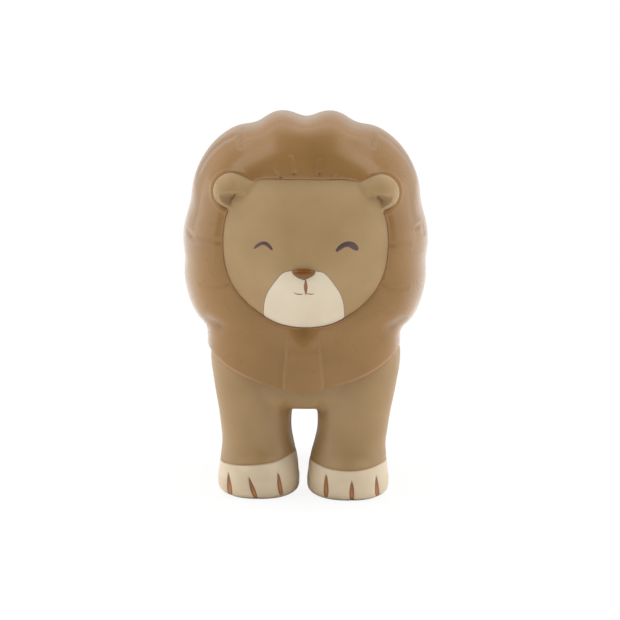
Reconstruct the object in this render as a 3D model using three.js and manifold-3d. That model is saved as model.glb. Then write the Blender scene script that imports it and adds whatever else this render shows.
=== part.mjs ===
// A hollow moulded toy lion, standing on four paws. Millimetres, +Z up, the face looks along -Y,
// and the origin lies on the floor under the middle of the figure.
import * as THREE from "three";
import { LoftGeometry } from "three/addons/geometries/LoftGeometry.js";
import { mergeVertices } from "three/addons/utils/BufferGeometryUtils.js";
import Module from "manifold-3d";

const wasm = await Module();
wasm.setup();

// Driving dimensions
const skinWall = 2.2; // wall of every hollow moulding
const seatGap = 0.3; // gap where one moulding seats on or in another
const cutOverrun = 30; // how far a cutting body runs past what it cuts
const weldDistance = 0.0001; // corners closer than this are one corner

const head = {
  centreHeight: 79.7, // middle of the face
  faceRadius: 25.2, // the face outline's shares are of this
  edgeY: -32.5, // where the face meets the mane
  domeRise: 6.5, // how far the forehead stands in front of that edge
  skullDepth: 15, // how far the back of the head reaches behind that edge
};
const muzzle = {
  rise: 5, // how far the snout swells out of the dome
  spreadAcross: 11,
  spreadUp: 10,
  swellHeight: 64.5, // height of the middle of the swelling
  halfWidth: 12.2, // the pale patch
  topHeight: 73.4,
  bottomHeight: 53,
  thickness: 1.5,
};
const nose = {
  halfWidth: 3.6,
  height: 3.5,
  proud: 2.3, // how far it stands out of the dome
  drop: 1, // its middle lies this far below the top of the pale patch
  pegRadius: 1.1,
  pegLength: 4.5,
};
const ear = {
  reach: 22.9, // middle of the ear, out from the centre plane
  height: 96.3,
  forward: 0.9, // its middle lies this far in front of the face's edge
  halfWidth: 5.5,
  halfDepth: 4.8,
  halfHeight: 5.8,
  tipTurn: 35, // degrees from straight up, where the ear runs out into the face's outline
  tipRadius: 0.8,
  bowlOut: 0.2, // the bowl's middle, measured from the ear's middle
  bowlForward: 4.5,
  bowlDown: 2.6,
  bowlHalfWidth: 3.4,
  bowlHalfDepth: 3.4,
  bowlHalfHeight: 2.3,
};
const eye = {
  reach: 13, // middle of the eye, out from the centre plane
  height: 80.9,
  halfSpan: 3.1,
  rise: 2.2, // of the smiling arc
  grooveRadius: 0.5,
};
const mane = {
  centreHeight: 81.5, // middle of the ring
  radius: 38.6, // the ring outline's shares are of this
  widestY: -7, // plane in which the ring is widest
  lip: 1, // how far the ring stands in front of the face's edge
  backDepth: 25, // from that plane to the back of the hood
  bondTopY: -25, // the bond line between the two shells, at the top of the ring
  bondTopHeight: 115,
  bondTilt: 8.3, // degrees, the bond line runs back as it goes down
};
const bib = {
  halfWidth: 30.3,
  frontDepth: 26.5, // from the middle of its sections to the chest
  backDepth: 26,
  middleY: -7,
  bottomHeight: 34.6, // lowest point of the hem, on the centre plane
  sideHeight: 46.5, // where the hem passes the sides
  topHeight: 66,
  rearY: 12, // the hem rises to the topHeight here
  tabHalfWidth: 5.7, // the lock of hair in the middle
  tabTopHeight: 53,
  tabRise: 1.1,
};
const torso = {
  halfWidth: 28,
  bellyHeight: 27.8,
  backHeight: 73,
  frontY: -29,
  rearY: 47.5,
};
const frontLeg = {
  x: 15.1, // middle of the leg, out from the centre plane
  y: -17.6,
  stagger: 0.35, // the left leg stands this far forward of y, the right one as far back
  radius: 11.25,
  topHeight: 60,
  pawX: 13.5,
  pawHalfWidth: 12.6,
  pawHalfLength: 13.8,
  thighShare: 0, // extra thickness at the thigh, as a share of the radius
};
const hindLeg = {
  x: 15.5,
  y: 32,
  stagger: 0,
  radius: 10.1,
  topHeight: 62,
  pawX: 15.4,
  pawHalfWidth: 10.5,
  pawHalfLength: 11.8,
  thighShare: 0.16,
};
const paw = {
  forward: 1.6, // the paw's middle lies this far in front of the leg's
  widestHeight: 5.2,
  topHeight: 10.2, // where the pale paw meets the leg
  lineTilt: 4, // degrees, the right front paw's top edge rises towards +X
  lineRise: 0.9, // and it is painted this much higher than the others
  spigotHeight: 5,
};
const claw = {
  width: 1.5,
  length: 7,
  depth: 0.7,
  bottomHeight: 2.2,
  fan: 38, // degrees between two claws
  toeOut: 6, // degrees, the middle claw is turned outwards
};
const neck = {
  radius: 8.2, // of the head's neck, which plugs into the body
  wall: 2,
  y: -13, // its lower end
  height: 62,
  length: 15,
  lean: 45, // degrees forward of upright
};
const tail = {
  rootHeight: 60,
  rootRadius: 3.6,
  tipRadius: 2.3,
  tipHeight: 32,
  behind: 3.4, // the hanging part's middle, behind the rump
  plugRadius: 2.6,
  plugLength: 6,
};
const tuft = { radius: 5.2, length: 16, socketDepth: 4, lobes: 5 };
const bellyPlug = { radius: 6, flangeRadius: 7.6, flangeThickness: 1.2, y: 6 };

// Outlines in polar form: degrees from the top, share of the nominal radius
const faceOutlineShares = [
  [0, 0.79],
  [18, 0.83],
  [36, 0.95],
  [52, 0.99],
  [67, 1.015],
  [90, 0.99],
  [118, 1.003],
  [133, 0.998],
  [148, 1],
  [162, 1.005],
  [180, 0.99],
];
const maneOutlineShares = [
  [0, 0.958],
  [25, 0.975],
  [48, 1.008],
  [78, 0.975],
  [100, 1.003],
  [118, 1.08],
  [129, 1.122],
  [137, 1.1],
  [148, 1.04],
  [180, 0.97],
];
const groove = { depth: 1.9, frontDepth: 1.1 }; // between the locks of the mane, at the rim and in front
// Those grooves: degrees from the top, share of the depth, half-width in degrees
const grooveShares = [
  [0, 0.85, 8],
  [25, 0.8, 7],
  [78, 0.5, 9],
  [104, 0.3, 6],
];
// Torso sections from chest to rump: share of the length, of the half-width, and of the height from belly
// to back for the underside and for the top
const torsoShares = [
  [0, 0, 0.25, 0.25],
  [0.01, 0.55, 0.07, 0.4],
  [0.045, 0.74, 0.01, 0.55],
  [0.12, 0.86, 0, 0.71],
  [0.21, 0.93, 0, 0.83],
  [0.33, 0.99, 0, 0.94],
  [0.47, 1, 0, 0.995],
  [0.61, 0.99, 0, 0.985],
  [0.75, 0.97, 0.02, 0.94],
  [0.87, 0.87, 0.08, 0.86],
  [0.95, 0.68, 0.2, 0.76],
  [0.988, 0.38, 0.34, 0.62],
  [1, 0, 0.48, 0.48],
];
// A paw upwards from its sole: share of its widest height, of its half-width, of its half-length and of how
// far forward it stands
const pawShares = [
  [0, 0.76, 0.76, 1],
  [0.11, 0.885, 0.885, 1],
  [0.4, 0.97, 0.97, 1],
  [1, 1, 1, 1],
  [1.5, 0.975, 0.965, 0.95],
  [1.96, 0.955, 0.91, 0.7],
];
// A leg upwards from its paw: share of its top height, of the way out from the paw's x to its own, of its
// radius across, of its radius along, how far its middle has moved back as a share of the radius, and how
// much of the thigh's extra thickness it has there
const legShares = [
  [0.217, 0.1, 1.03, 1.03, -0.02, 0],
  [0.267, 0.3, 0.985, 0.99, 0, 0],
  [0.345, 0.8, 0.97, 0.985, 0, 0.1],
  [0.43, 1.02, 1.005, 1.01, 0.02, 0.3],
  [0.515, 1.25, 1.063, 1.05, 0.05, 0.6],
  [0.6, 1.45, 1.117, 1.08, 0.08, 0.9],
  [0.685, 1.57, 1.17, 1.1, 0.12, 1],
  [0.77, 1.57, 1.16, 1.07, 0.15, 1],
  [0.85, 1.3, 1.05, 0.96, 0.15, 0.9],
  [0.93, 0.6, 0.78, 0.72, 0.15, 0.7],
  [1, 0, 0.3, 0.3, 0.15, 0.2],
];
// The nose downwards: share of its height from its middle, of its half-width and of how far it stands out
const noseShares = [
  [0.5, 0.5, 0.4],
  [0.38, 0.92, 0.85],
  [0.15, 1, 1],
  [-0.12, 0.8, 0.95],
  [-0.36, 0.45, 0.7],
  [-0.5, 0.15, 0.35],
];
// The pale patch upwards: share of its height and of its half-width
const patchShares = [
  [0, 1],
  [0.22, 1],
  [0.35, 0.992],
  [0.5, 0.963],
  [0.65, 0.878],
  [0.77, 0.755],
  [0.87, 0.64],
  [0.945, 0.53],
  [0.98, 0.43],
  [1, 0.25],
];
// The lock of hair on the bib: shares of its half-width, at its top, at its middle and for its round corner
const lockShares = { top: 0.86, corner: 0.9, rounding: 0.55 };
const hemShare = 0.62; // the hem's curve leaves the side at this share of the half-width
const lobeShare = 0.11; // how deep the tuft's lobes are, as a share of its radius
// The tuft from its top to its tip: share of its length and of its radius
const tuftShares = [
  [0, 0.5],
  [0.2, 0.72],
  [0.5, 1],
  [0.75, 0.78],
  [1, 0.12],
];
// How far round a form is at each kind of place, as superellipse powers
const roundness = {
  ring: 2.4,
  hood: 2.15,
  bib: 3.4,
  torso: 2.35,
  leg: 2.15,
  skull: 2.5,
  nose: 2.2,
};
// Facets round and along the curved forms
const facets = {
  ring: 60,
  ringRows: 8,
  hoodRows: 7,
  torso: 28,
  leg: 18,
  head: 38,
  headRows: 6,
  skullRows: 4,
  bib: 40,
  ear: 14,
  tail: 10,
  tailRows: 12,
  tuft: 20,
  tuftRows: 9,
  peg: 12,
  spigot: 20,
};
const coarseShare = 0.46; // of those facets, for an inside surface

// Geometry helpers
const degrees = THREE.MathUtils.degToRad;
const vector = (x, y, z) => new THREE.Vector3(x, y, z);

// A smooth curve through [position, value] pairs, flat at both ends.
function curveThrough(pairs) {
  const slopeAt = (i) => {
    if (i === 0 || i === pairs.length - 1) return 0;
    return (pairs[i + 1][1] - pairs[i - 1][1]) / (pairs[i + 1][0] - pairs[i - 1][0]);
  };
  return (position) => {
    const last = pairs.length - 2;
    const i = Math.min(last, Math.max(0, pairs.findIndex(([p]) => p > position) - 1));
    const index = position >= pairs[pairs.length - 1][0] ? last : i;
    const [from, to] = [pairs[index], pairs[index + 1]];
    const span = to[0] - from[0];
    const t = THREE.MathUtils.clamp((position - from[0]) / span, 0, 1);
    const [t2, t3] = [t * t, t * t * t];
    return (
      (2 * t3 - 3 * t2 + 1) * from[1] +
      (t3 - 2 * t2 + t) * span * slopeAt(index) +
      (3 * t2 - 2 * t3) * to[1] +
      (t3 - t2) * span * slopeAt(index + 1)
    );
  };
}

// A closed geometry as a solid that can be joined and cut.
function solidOf(geometry) {
  const bare = geometry.index ? geometry.toNonIndexed() : geometry.clone();
  bare.deleteAttribute("normal");
  bare.deleteAttribute("uv");
  const merged = mergeVertices(bare, weldDistance);
  const corners = merged.index.array;
  const kept = [];
  for (let i = 0; i < corners.length; i += 3) {
    const [a, b, c] = [corners[i], corners[i + 1], corners[i + 2]];
    if (a !== b && b !== c && c !== a) kept.push(a, b, c); // a pole's collapsed faces are dropped
  }
  return new wasm.Manifold(
    new wasm.Mesh({
      numProp: 3,
      vertProperties: merged.attributes.position.array,
      triVerts: new Uint32Array(kept),
    }),
  );
}

// A skin through rings of points, closed at both ends and facing out. A ring drawn together to one point
// is a pole and needs no end face.
function loft(rings) {
  const middle = rings[Math.floor(rings.length / 2)];
  const along = rings[rings.length - 1][0].clone().sub(rings[0][0]);
  const turning = vector(0, 0, 0);
  for (let i = 1; i < middle.length - 1; i++) {
    const [one, next] = [middle[i].clone().sub(middle[0]), middle[i + 1].clone().sub(middle[0])];
    turning.add(one.cross(next));
  }
  const wound = turning.dot(along) > 0 ? rings : rings.map((ring) => [...ring].reverse());
  const isOpen = (ring) => ring[0].distanceTo(ring[Math.floor(ring.length / 2)]) > weldDistance;
  const ends = { capStart: isOpen(rings[0]), capEnd: isOpen(rings[rings.length - 1]) };
  return solidOf(new LoftGeometry(wound, { closed: true, ...ends }));
}

// Signed power, for superellipses.
const spow = (value, power) => Math.sign(value) * Math.abs(value) ** power;

function superRing(count, power, place) {
  return Array.from({ length: count }, (_, i) => {
    const turn = (i / count) * 2 * Math.PI;
    return place(spow(Math.cos(turn), 2 / power), spow(Math.sin(turn), 2 / power));
  });
}

function joined(solids) {
  return solids.reduce((all, one) => all.add(one));
}

function cylinderAlong(radius, from, to, sides) {
  const axis = to.clone().sub(from);
  const turned = new THREE.CylinderGeometry(radius, radius, axis.length(), sides)
    .applyQuaternion(new THREE.Quaternion().setFromUnitVectors(vector(0, 1, 0), axis.clone().normalize()))
    .translate(...from.clone().add(to).multiplyScalar(0.5).toArray());
  return solidOf(turned);
}

// Everything on the +Y side of a plane through a point, which leans back as it goes down.
function behindPlane(y, height, tilt) {
  const block = new THREE.BoxGeometry(8 * cutOverrun, 8 * cutOverrun, 8 * cutOverrun)
    .translate(0, 4 * cutOverrun, 0)
    .rotateX(degrees(tilt))
    .translate(0, y, height);
  return solidOf(block);
}

// The mane's ring and hood
const faceRadiusAt = curveThrough(faceOutlineShares);
const maneRadiusAt = curveThrough(maneOutlineShares);
const downFromTop = (turn) => {
  const angle = THREE.MathUtils.radToDeg(turn);
  return angle > 180 ? 360 - angle : angle;
};

// How deep in a groove between two locks a direction lies, from 0 to 1.
function grooveAt(angle) {
  const one = ([at, share, width]) => share * Math.exp(-(((angle - at) / width) ** 2));
  return grooveShares.reduce((sum, row) => sum + one(row), 0);
}

function polarPoint(centreHeight, turn, radius, y) {
  return vector(Math.sin(turn) * radius, y, centreHeight + Math.cos(turn) * radius);
}

const ringFrontY = head.edgeY - mane.lip;

// One ring of the mane's skin: shareOut 0 is the face's outline, 1 is the mane's.
function maneRing(shareOut, y, dent, grow, count) {
  return Array.from({ length: count }, (_, i) => {
    const turn = (i / count) * 2 * Math.PI;
    const angle = downFromTop(turn);
    const sunk = grooveAt(angle);
    const outer = mane.radius * maneRadiusAt(angle) + grow - groove.depth * sunk;
    const inner = head.faceRadius * faceRadiusAt(angle);
    const rim = polarPoint(mane.centreHeight, turn, outer, y);
    const edge = polarPoint(head.centreHeight, turn, inner, y);
    return edge.lerp(rim, shareOut).setY(y + dent * sunk);
  });
}

// The same, drawn in towards the middle of the hood.
function hoodRing(shareOut, y, grow, count) {
  const middle = vector(0, y, mane.centreHeight);
  return maneRing(1, y, 0, grow, count).map((point) => middle.clone().lerp(point, shareOut));
}

function ringForm(grow, detail = 1) {
  const fewer = (count) => Math.round(count * detail);
  const count = fewer(facets.ring);
  const front = fewer(facets.ringRows);
  const hood = fewer(facets.hoodRows);
  const depth = mane.widestY - ringFrontY + grow;
  const pole = Array.from({ length: count }, () => vector(0, ringFrontY - grow, head.centreHeight));
  const rows = [pole];
  for (let row = 0; row <= front; row++) {
    const turn = (row / front) * (Math.PI / 2);
    const out = Math.sin(turn) ** (2 / roundness.ring);
    const forward = Math.cos(turn) ** (2 / roundness.ring);
    const dent = groove.frontDepth * Math.sin(2 * turn);
    rows.push(maneRing(out, mane.widestY - depth * forward, dent, grow, count));
  }
  for (let row = 1; row <= hood; row++) {
    const turn = (row / hood) * (Math.PI / 2);
    const out = row === hood ? 0 : Math.cos(turn) ** (2 / roundness.hood);
    const back = Math.sin(turn) ** (2 / roundness.hood);
    rows.push(hoodRing(out, mane.widestY + (mane.backDepth + grow) * back, grow, count));
  }
  return loft(rows);
}

// The bib: a rounded box round the chest, trimmed to its hem in front view and in side view.
function bibForm(grow, detail = 1) {
  const section = (height) =>
    superRing(Math.round(facets.bib * detail), roundness.bib, (across, along) =>
      vector(
        across * (bib.halfWidth + grow),
        bib.middleY + along * (along < 0 ? bib.frontDepth + grow : bib.backDepth + grow),
        height,
      ),
    );
  const block = loft([section(bib.bottomHeight - cutOverrun), section(bib.topHeight + grow)]);
  const hem = new THREE.Shape();
  const [side, bottom] = [bib.halfWidth + cutOverrun, bib.bottomHeight - grow];
  const [shoulder, top] = [bib.sideHeight - grow, bib.topHeight + cutOverrun];
  hem.moveTo(-side, top);
  hem.lineTo(-side, shoulder + (side - bib.halfWidth));
  hem.lineTo(-bib.halfWidth, shoulder);
  hem.quadraticCurveTo(-bib.halfWidth * hemShare, bottom + bib.tabRise, 0, bottom);
  hem.quadraticCurveTo(bib.halfWidth * hemShare, bottom + bib.tabRise, bib.halfWidth, shoulder);
  hem.lineTo(side, shoulder + (side - bib.halfWidth));
  hem.lineTo(side, top);
  const frontView = solidOf(
    new THREE.ExtrudeGeometry(hem, { depth: 8 * cutOverrun, bevelEnabled: false, curveSegments: 9 })
      .rotateX(Math.PI / 2)
      .translate(0, 4 * cutOverrun, 0),
  );
  const rise = new THREE.Shape();
  rise.moveTo(bib.middleY - bib.frontDepth - cutOverrun, bib.bottomHeight - cutOverrun);
  rise.lineTo(bib.middleY - bib.frontDepth / 2, bib.sideHeight - grow - bib.frontDepth / 6);
  rise.lineTo(bib.rearY + grow, bib.topHeight);
  rise.lineTo(bib.rearY + grow, bib.topHeight + cutOverrun);
  rise.lineTo(bib.middleY - bib.frontDepth - cutOverrun, bib.topHeight + cutOverrun);
  const sideView = solidOf(
    new THREE.ExtrudeGeometry(rise, { depth: 8 * cutOverrun, bevelEnabled: false })
      .rotateX(Math.PI / 2)
      .rotateZ(Math.PI / 2)
      .translate(-4 * cutOverrun, 0, 0),
  );
  return block.intersect(frontView).intersect(sideView);
}

// The torso and the legs
function torsoForm(grow, detail = 1) {
  const length = torso.rearY - torso.frontY + 2 * grow;
  const half = (torso.backHeight - torso.bellyHeight) / 2;
  return loft(
    torsoShares.map(([along, wide, under, over]) => {
      const pole = wide ? 1 : 0;
      return superRing(Math.round(facets.torso * detail), roundness.torso, (across, up) =>
        vector(
          across * (torso.halfWidth * wide + grow * pole),
          torso.frontY - grow + along * length,
          torso.bellyHeight + (under + over) * half + up * ((over - under) * half + grow * pole),
        ),
      );
    }),
  );
}

// A leg and its paw as one column, from the sole to the shoulder.
function legForm(one, grow, detail = 1) {
  const { leg, side } = one;
  const y = legMiddleY(one);
  // Height, middle across, middle along, half-width, half-length
  const rows = [
    ...pawShares.map(([up, wide, long, forward]) => [
      up * paw.widestHeight,
      leg.pawX,
      y - paw.forward * forward,
      leg.pawHalfWidth * wide,
      leg.pawHalfLength * long,
    ]),
    ...legShares.map(([up, out, wide, long, back, thigh]) => [
      up * leg.topHeight,
      leg.pawX + out * (leg.x - leg.pawX),
      y + back * leg.radius,
      wide * leg.radius * (1 + (thigh * leg.thighShare) / 4),
      long * leg.radius * (1 + thigh * leg.thighShare),
    ]),
  ];
  return loft(
    rows.map(([height, x, middleY, halfWidth, halfLength]) =>
      superRing(Math.round(facets.leg * detail), roundness.leg, (across, along) =>
        vector(
          side * (x + across * (halfWidth + grow)),
          middleY + along * (halfLength + grow),
          height * (1 + (2 * grow) / leg.topHeight) - grow,
        ),
      ),
    ),
  );
}

const legs = [
  { name: "front_left", leg: frontLeg, side: 1, tilt: 0, rise: 0 },
  { name: "front_right", leg: frontLeg, side: -1, tilt: paw.lineTilt, rise: paw.lineRise },
  { name: "hind_left", leg: hindLeg, side: 1, tilt: 0, rise: 0 },
  { name: "hind_right", leg: hindLeg, side: -1, tilt: 0, rise: 0 },
];
const legMiddleY = ({ leg, side }) => leg.y - side * leg.stagger;
const pawTop = ({ rise }) => paw.topHeight + rise;

function bodyForm(grow, detail = 1) {
  return joined([torsoForm(grow, detail), ...legs.map((one) => legForm(one, grow, detail))]);
}

// Everything above a paw's top edge, for that leg only.
function abovePaw(one, gap) {
  const tall = one.leg.topHeight + cutOverrun;
  const box = new THREE.BoxGeometry(2 * cutOverrun, 2 * cutOverrun, tall)
    .translate(0, 0, tall / 2 + gap)
    .rotateY(degrees(-one.tilt))
    .translate(one.side * one.leg.pawX, legMiddleY(one), pawTop(one));
  return solidOf(box);
}

// Everything below it.
function belowLeg(one, gap) {
  const box = new THREE.BoxGeometry(2 * cutOverrun, 2 * cutOverrun, 2 * cutOverrun)
    .translate(0, 0, gap - cutOverrun)
    .rotateY(degrees(-one.tilt))
    .translate(one.side * one.leg.pawX, legMiddleY(one), pawTop(one));
  return solidOf(box);
}

// The head: a dome in front, a rounded skull behind, two ears and a neck that plugs into the body
function snoutRise(x, height) {
  const [across, up] = [x / muzzle.spreadAcross, (height - muzzle.swellHeight) / muzzle.spreadUp];
  return muzzle.rise * Math.exp(-(across ** 2) - up ** 2);
}

// How far the face stands in front of its edge at a place, which lies at a share of the way to that edge.
function faceRise(x, height, share, grow) {
  return (head.domeRise + grow) * Math.sqrt(1 - share * share) + snoutRise(x, height) * (1 - share ** 6);
}

function skullForm(grow, detail = 1) {
  const fewer = (count) => Math.round(count * detail);
  const [count, front, back] = [fewer(facets.head), fewer(facets.headRows), fewer(facets.skullRows)];
  const ring = (share, yOf) =>
    Array.from({ length: count }, (_, i) => {
      const turn = (i / count) * 2 * Math.PI;
      const radius = (head.faceRadius * faceRadiusAt(downFromTop(turn)) + grow) * share;
      const point = polarPoint(head.centreHeight, turn, radius, 0);
      return point.setY(yOf(point.x, point.z));
    });
  const rows = [];
  for (let row = 0; row <= front; row++) {
    const share = row === front ? 1 : Math.sin((row / front) * (Math.PI / 2));
    rows.push(ring(share, (x, height) => head.edgeY - faceRise(x, height, share, grow)));
  }
  for (let row = 1; row <= back; row++) {
    const turn = (row / back) * (Math.PI / 2);
    const share = row === back ? 0 : Math.cos(turn) ** (2 / roundness.skull);
    const y = head.edgeY + (head.skullDepth + grow) * Math.sin(turn) ** (2 / roundness.skull);
    rows.push(ring(share, () => y));
  }
  return loft(rows);
}

function ellipsoid(x, y, z, halfWidth, halfDepth, halfHeight) {
  const ball = new THREE.SphereGeometry(1, facets.ear, facets.ear / 2);
  return solidOf(ball.rotateX(Math.PI / 2).scale(halfWidth, halfDepth, halfHeight).translate(x, y, z));
}

const earY = head.edgeY - ear.forward;
const earTipReach = head.faceRadius * faceRadiusAt(ear.tipTurn) - ear.tipRadius;

// An ear is a ball drawn out to a tip on the face's outline, so it grows out of the head.
function earForm(side, grow) {
  const ball = ellipsoid(
    side * ear.reach,
    earY,
    ear.height,
    ear.halfWidth + grow,
    ear.halfDepth + grow,
    ear.halfHeight + grow,
  );
  const tipTurn = degrees(ear.tipTurn);
  const tipSize = ear.tipRadius + grow;
  const tip = ellipsoid(
    side * earTipReach * Math.sin(tipTurn),
    earY,
    head.centreHeight + earTipReach * Math.cos(tipTurn),
    tipSize,
    tipSize,
    tipSize,
  );
  return wasm.Manifold.hull([ball, tip]);
}

function earBowl(side) {
  return ellipsoid(
    side * (ear.reach + ear.bowlOut),
    earY - ear.bowlForward,
    ear.height - ear.bowlDown,
    ear.bowlHalfWidth,
    ear.bowlHalfDepth,
    ear.bowlHalfHeight,
  );
}

const neckLean = degrees(neck.lean);
const neckWay = vector(0, -Math.sin(neckLean), Math.cos(neckLean)).multiplyScalar(neck.length);
const neckLow = vector(0, neck.y, neck.height);
const neckHigh = neckLow.clone().add(neckWay);
const neckBelow = neckLow.clone().sub(neckWay);

// A groove along the smiling line of an eye.
function eyeGroove(side) {
  const start = vector(side * eye.reach - eye.halfSpan, 0, eye.height - eye.rise / 2);
  const end = vector(side * eye.reach + eye.halfSpan, 0, eye.height - eye.rise / 2);
  const onFace = (point) => {
    const up = point.z - head.centreHeight;
    const rim = head.faceRadius * faceRadiusAt(downFromTop(Math.atan2(Math.abs(point.x), up)));
    return point.setY(head.edgeY - faceRise(point.x, point.z, Math.hypot(point.x, up) / rim, 0));
  };
  const points = [0, 0.25, 0.5, 0.75, 1].map((t) => {
    const point = start.clone().lerp(end, t);
    point.z += eye.rise * Math.sin(Math.PI * t);
    return onFace(point);
  });
  const section = new THREE.Shape().absarc(0, 0, eye.grooveRadius, 0, 2 * Math.PI);
  return solidOf(
    new THREE.ExtrudeGeometry(section, {
      extrudePath: new THREE.CatmullRomCurve3(points),
      steps: 8,
      curveSegments: 3,
      bevelEnabled: false,
    }),
  );
}

// The pale patch of the muzzle as a prism through the whole head.
function patchPrism(grow) {
  const outline = new THREE.Shape();
  const rise = muzzle.topHeight + grow - muzzle.bottomHeight;
  const halfWidth = muzzle.halfWidth + grow;
  outline.moveTo(-halfWidth, muzzle.bottomHeight - cutOverrun);
  for (const [up, wide] of patchShares) outline.lineTo(-wide * halfWidth, muzzle.bottomHeight + up * rise);
  for (const [up, wide] of patchShares.toReversed()) outline.lineTo(wide * halfWidth, muzzle.bottomHeight + up * rise);
  outline.lineTo(halfWidth, muzzle.bottomHeight - cutOverrun);
  return solidOf(
    new THREE.ExtrudeGeometry(outline, { depth: 4 * cutOverrun, bevelEnabled: false })
      .rotateX(Math.PI / 2)
      .translate(0, cutOverrun, 0),
  );
}

const noseHeight = muzzle.topHeight - nose.drop;
const noseShare = (head.centreHeight - noseHeight) / (head.faceRadius * faceRadiusAt(downFromTop(Math.PI)));
const noseSeatY = head.edgeY - faceRise(0, noseHeight, noseShare, 0);

function noseForm() {
  return loft(
    noseShares.map(([up, wide, deep]) =>
      superRing(facets.peg, roundness.nose, (across, along) =>
        vector(
          across * nose.halfWidth * wide,
          noseSeatY + along * nose.proud * deep,
          noseHeight + up * nose.height,
        ),
      ),
    ),
  );
}

// The hole that the nose's peg goes into, through the muzzle and into the head.
const pegHole = cylinderAlong(
  nose.pegRadius + seatGap,
  vector(0, noseSeatY - cutOverrun, noseHeight),
  vector(0, noseSeatY + nose.pegLength + seatGap, noseHeight),
  facets.peg,
);

// The tail hangs behind the rump along a curve in the centre plane.
const tailBack = torso.rearY + tail.behind;
const tailRoot = vector(0, torso.rearY - tail.rootRadius / 2, tail.rootHeight);
const tailPlugEnd = tailRoot.clone().sub(vector(0, tail.plugLength, 0));
const tailLine = new THREE.CatmullRomCurve3([
  tailRoot.clone().sub(vector(0, tail.rootRadius, 0)),
  tailRoot,
  vector(0, tailBack - tail.rootRadius / 3, tail.rootHeight - tail.rootRadius),
  vector(0, tailBack, (tail.rootHeight + tail.tipHeight) / 2),
  vector(0, tailBack - tail.tipRadius / 3, tail.tipHeight),
]);

// Rings square to a curve in the centre plane, for a limb that changes in thickness.
function sweep(curve, steps, sides, radiusAt) {
  const across = vector(1, 0, 0);
  const ring = (share) => {
    const up = curve.getTangent(share).cross(across);
    return Array.from({ length: sides }, (_, j) => {
      const turn = (j / sides) * 2 * Math.PI;
      const radius = radiusAt(share, turn);
      const point = curve.getPoint(share).addScaledVector(across, Math.cos(turn) * radius);
      return point.addScaledVector(up, Math.sin(turn) * radius);
    });
  };
  return loft(Array.from({ length: steps + 1 }, (_, i) => ring(i / steps)));
}

function tailForm(grow) {
  const radiusAt = (share) => tail.rootRadius + (tail.tipRadius - tail.rootRadius) * share + grow;
  return sweep(tailLine, facets.tailRows, facets.tail, radiusAt);
}

// The parts
const bodyClear = bodyForm(seatGap);
const neckHole = cylinderAlong(neck.radius + seatGap, neckBelow, neckHigh, facets.spigot);
const neckSpigot = cylinderAlong(neck.radius, neckLow, neckHigh, facets.spigot);
const neckBore = cylinderAlong(neck.radius - neck.wall, neckBelow, neckHigh, facets.spigot);
const skull = skullForm(0);
const headClear = joined([skullForm(seatGap), earForm(1, seatGap), earForm(-1, seatGap)]);

function makeBody() {
  const plugHole = cylinderAlong(
    bellyPlug.radius + seatGap,
    vector(0, bellyPlug.y, torso.bellyHeight - skinWall),
    vector(0, bellyPlug.y, torso.bellyHeight + 2 * skinWall),
    facets.spigot,
  );
  const tailHole = cylinderAlong(tail.plugRadius + seatGap, tailPlugEnd, tailRoot, facets.peg);
  let made = bodyForm(0);
  for (const one of legs) made = made.subtract(belowLeg(one, seatGap / 2).intersect(legForm(one, seatGap)));
  for (const cut of [bodyForm(-skinWall, coarseShare), neckHole, plugHole, tailHole]) made = made.subtract(cut);
  return made;
}

function makePaw(one) {
  const spigot = legForm(one, -skinWall - seatGap, coarseShare);
  const tall = one.leg.topHeight + cutOverrun;
  const spigotTop = solidOf(
    new THREE.BoxGeometry(4 * cutOverrun, 4 * cutOverrun, tall)
      .translate(0, legMiddleY(one), pawTop(one) + paw.spigotHeight + tall / 2),
  );
  let made = legForm(one, 0).subtract(abovePaw(one, -seatGap / 2)).add(spigot.subtract(spigotTop));
  for (const place of [-1, 0, 1]) {
    const angle = degrees(claw.toeOut * one.side + claw.fan * place);
    const x = one.side * one.leg.pawX + Math.sin(angle) * one.leg.pawHalfWidth;
    const y = legMiddleY(one) - paw.forward - Math.cos(angle) * one.leg.pawHalfLength;
    const blade = new THREE.SphereGeometry(1, 8, 6)
      .rotateX(Math.PI / 2)
      .scale(claw.width / 2, claw.depth, claw.length / 2)
      .rotateZ(angle)
      .translate(x, y, claw.bottomHeight + claw.length / 2);
    made = made.subtract(solidOf(blade));
  }
  return made;
}

const bondBehind = behindPlane(mane.bondTopY + seatGap / 2, mane.bondTopHeight, mane.bondTilt);
const bondClear = behindPlane(mane.bondTopY - seatGap / 2, mane.bondTopHeight, mane.bondTilt);

// The lock of hair that runs down the middle of the bib.
function lockForm() {
  const [half, low] = [bib.tabHalfWidth, bib.bottomHeight - bib.tabRise];
  const lock = new THREE.Shape();
  lock.moveTo(-half * lockShares.top, bib.tabTopHeight);
  lock.lineTo(-half, bib.bottomHeight + half * lockShares.rounding);
  lock.quadraticCurveTo(-half * lockShares.corner, low, 0, low);
  lock.quadraticCurveTo(half * lockShares.corner, low, half, bib.bottomHeight + half * lockShares.rounding);
  lock.lineTo(half * lockShares.top, bib.tabTopHeight);
  const prism = new THREE.ExtrudeGeometry(lock, { depth: cutOverrun, bevelEnabled: false, curveSegments: 5 });
  return solidOf(prism.rotateX(Math.PI / 2).translate(0, bib.middleY, 0)).intersect(bibForm(bib.tabRise));
}

function makeMane() {
  const outer = joined([ringForm(0), bibForm(0), lockForm()]);
  const inner = joined([ringForm(-skinWall, coarseShare), bibForm(-skinWall, coarseShare)]);
  return outer.subtract(inner).subtract(bodyClear).subtract(headClear);
}

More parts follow.
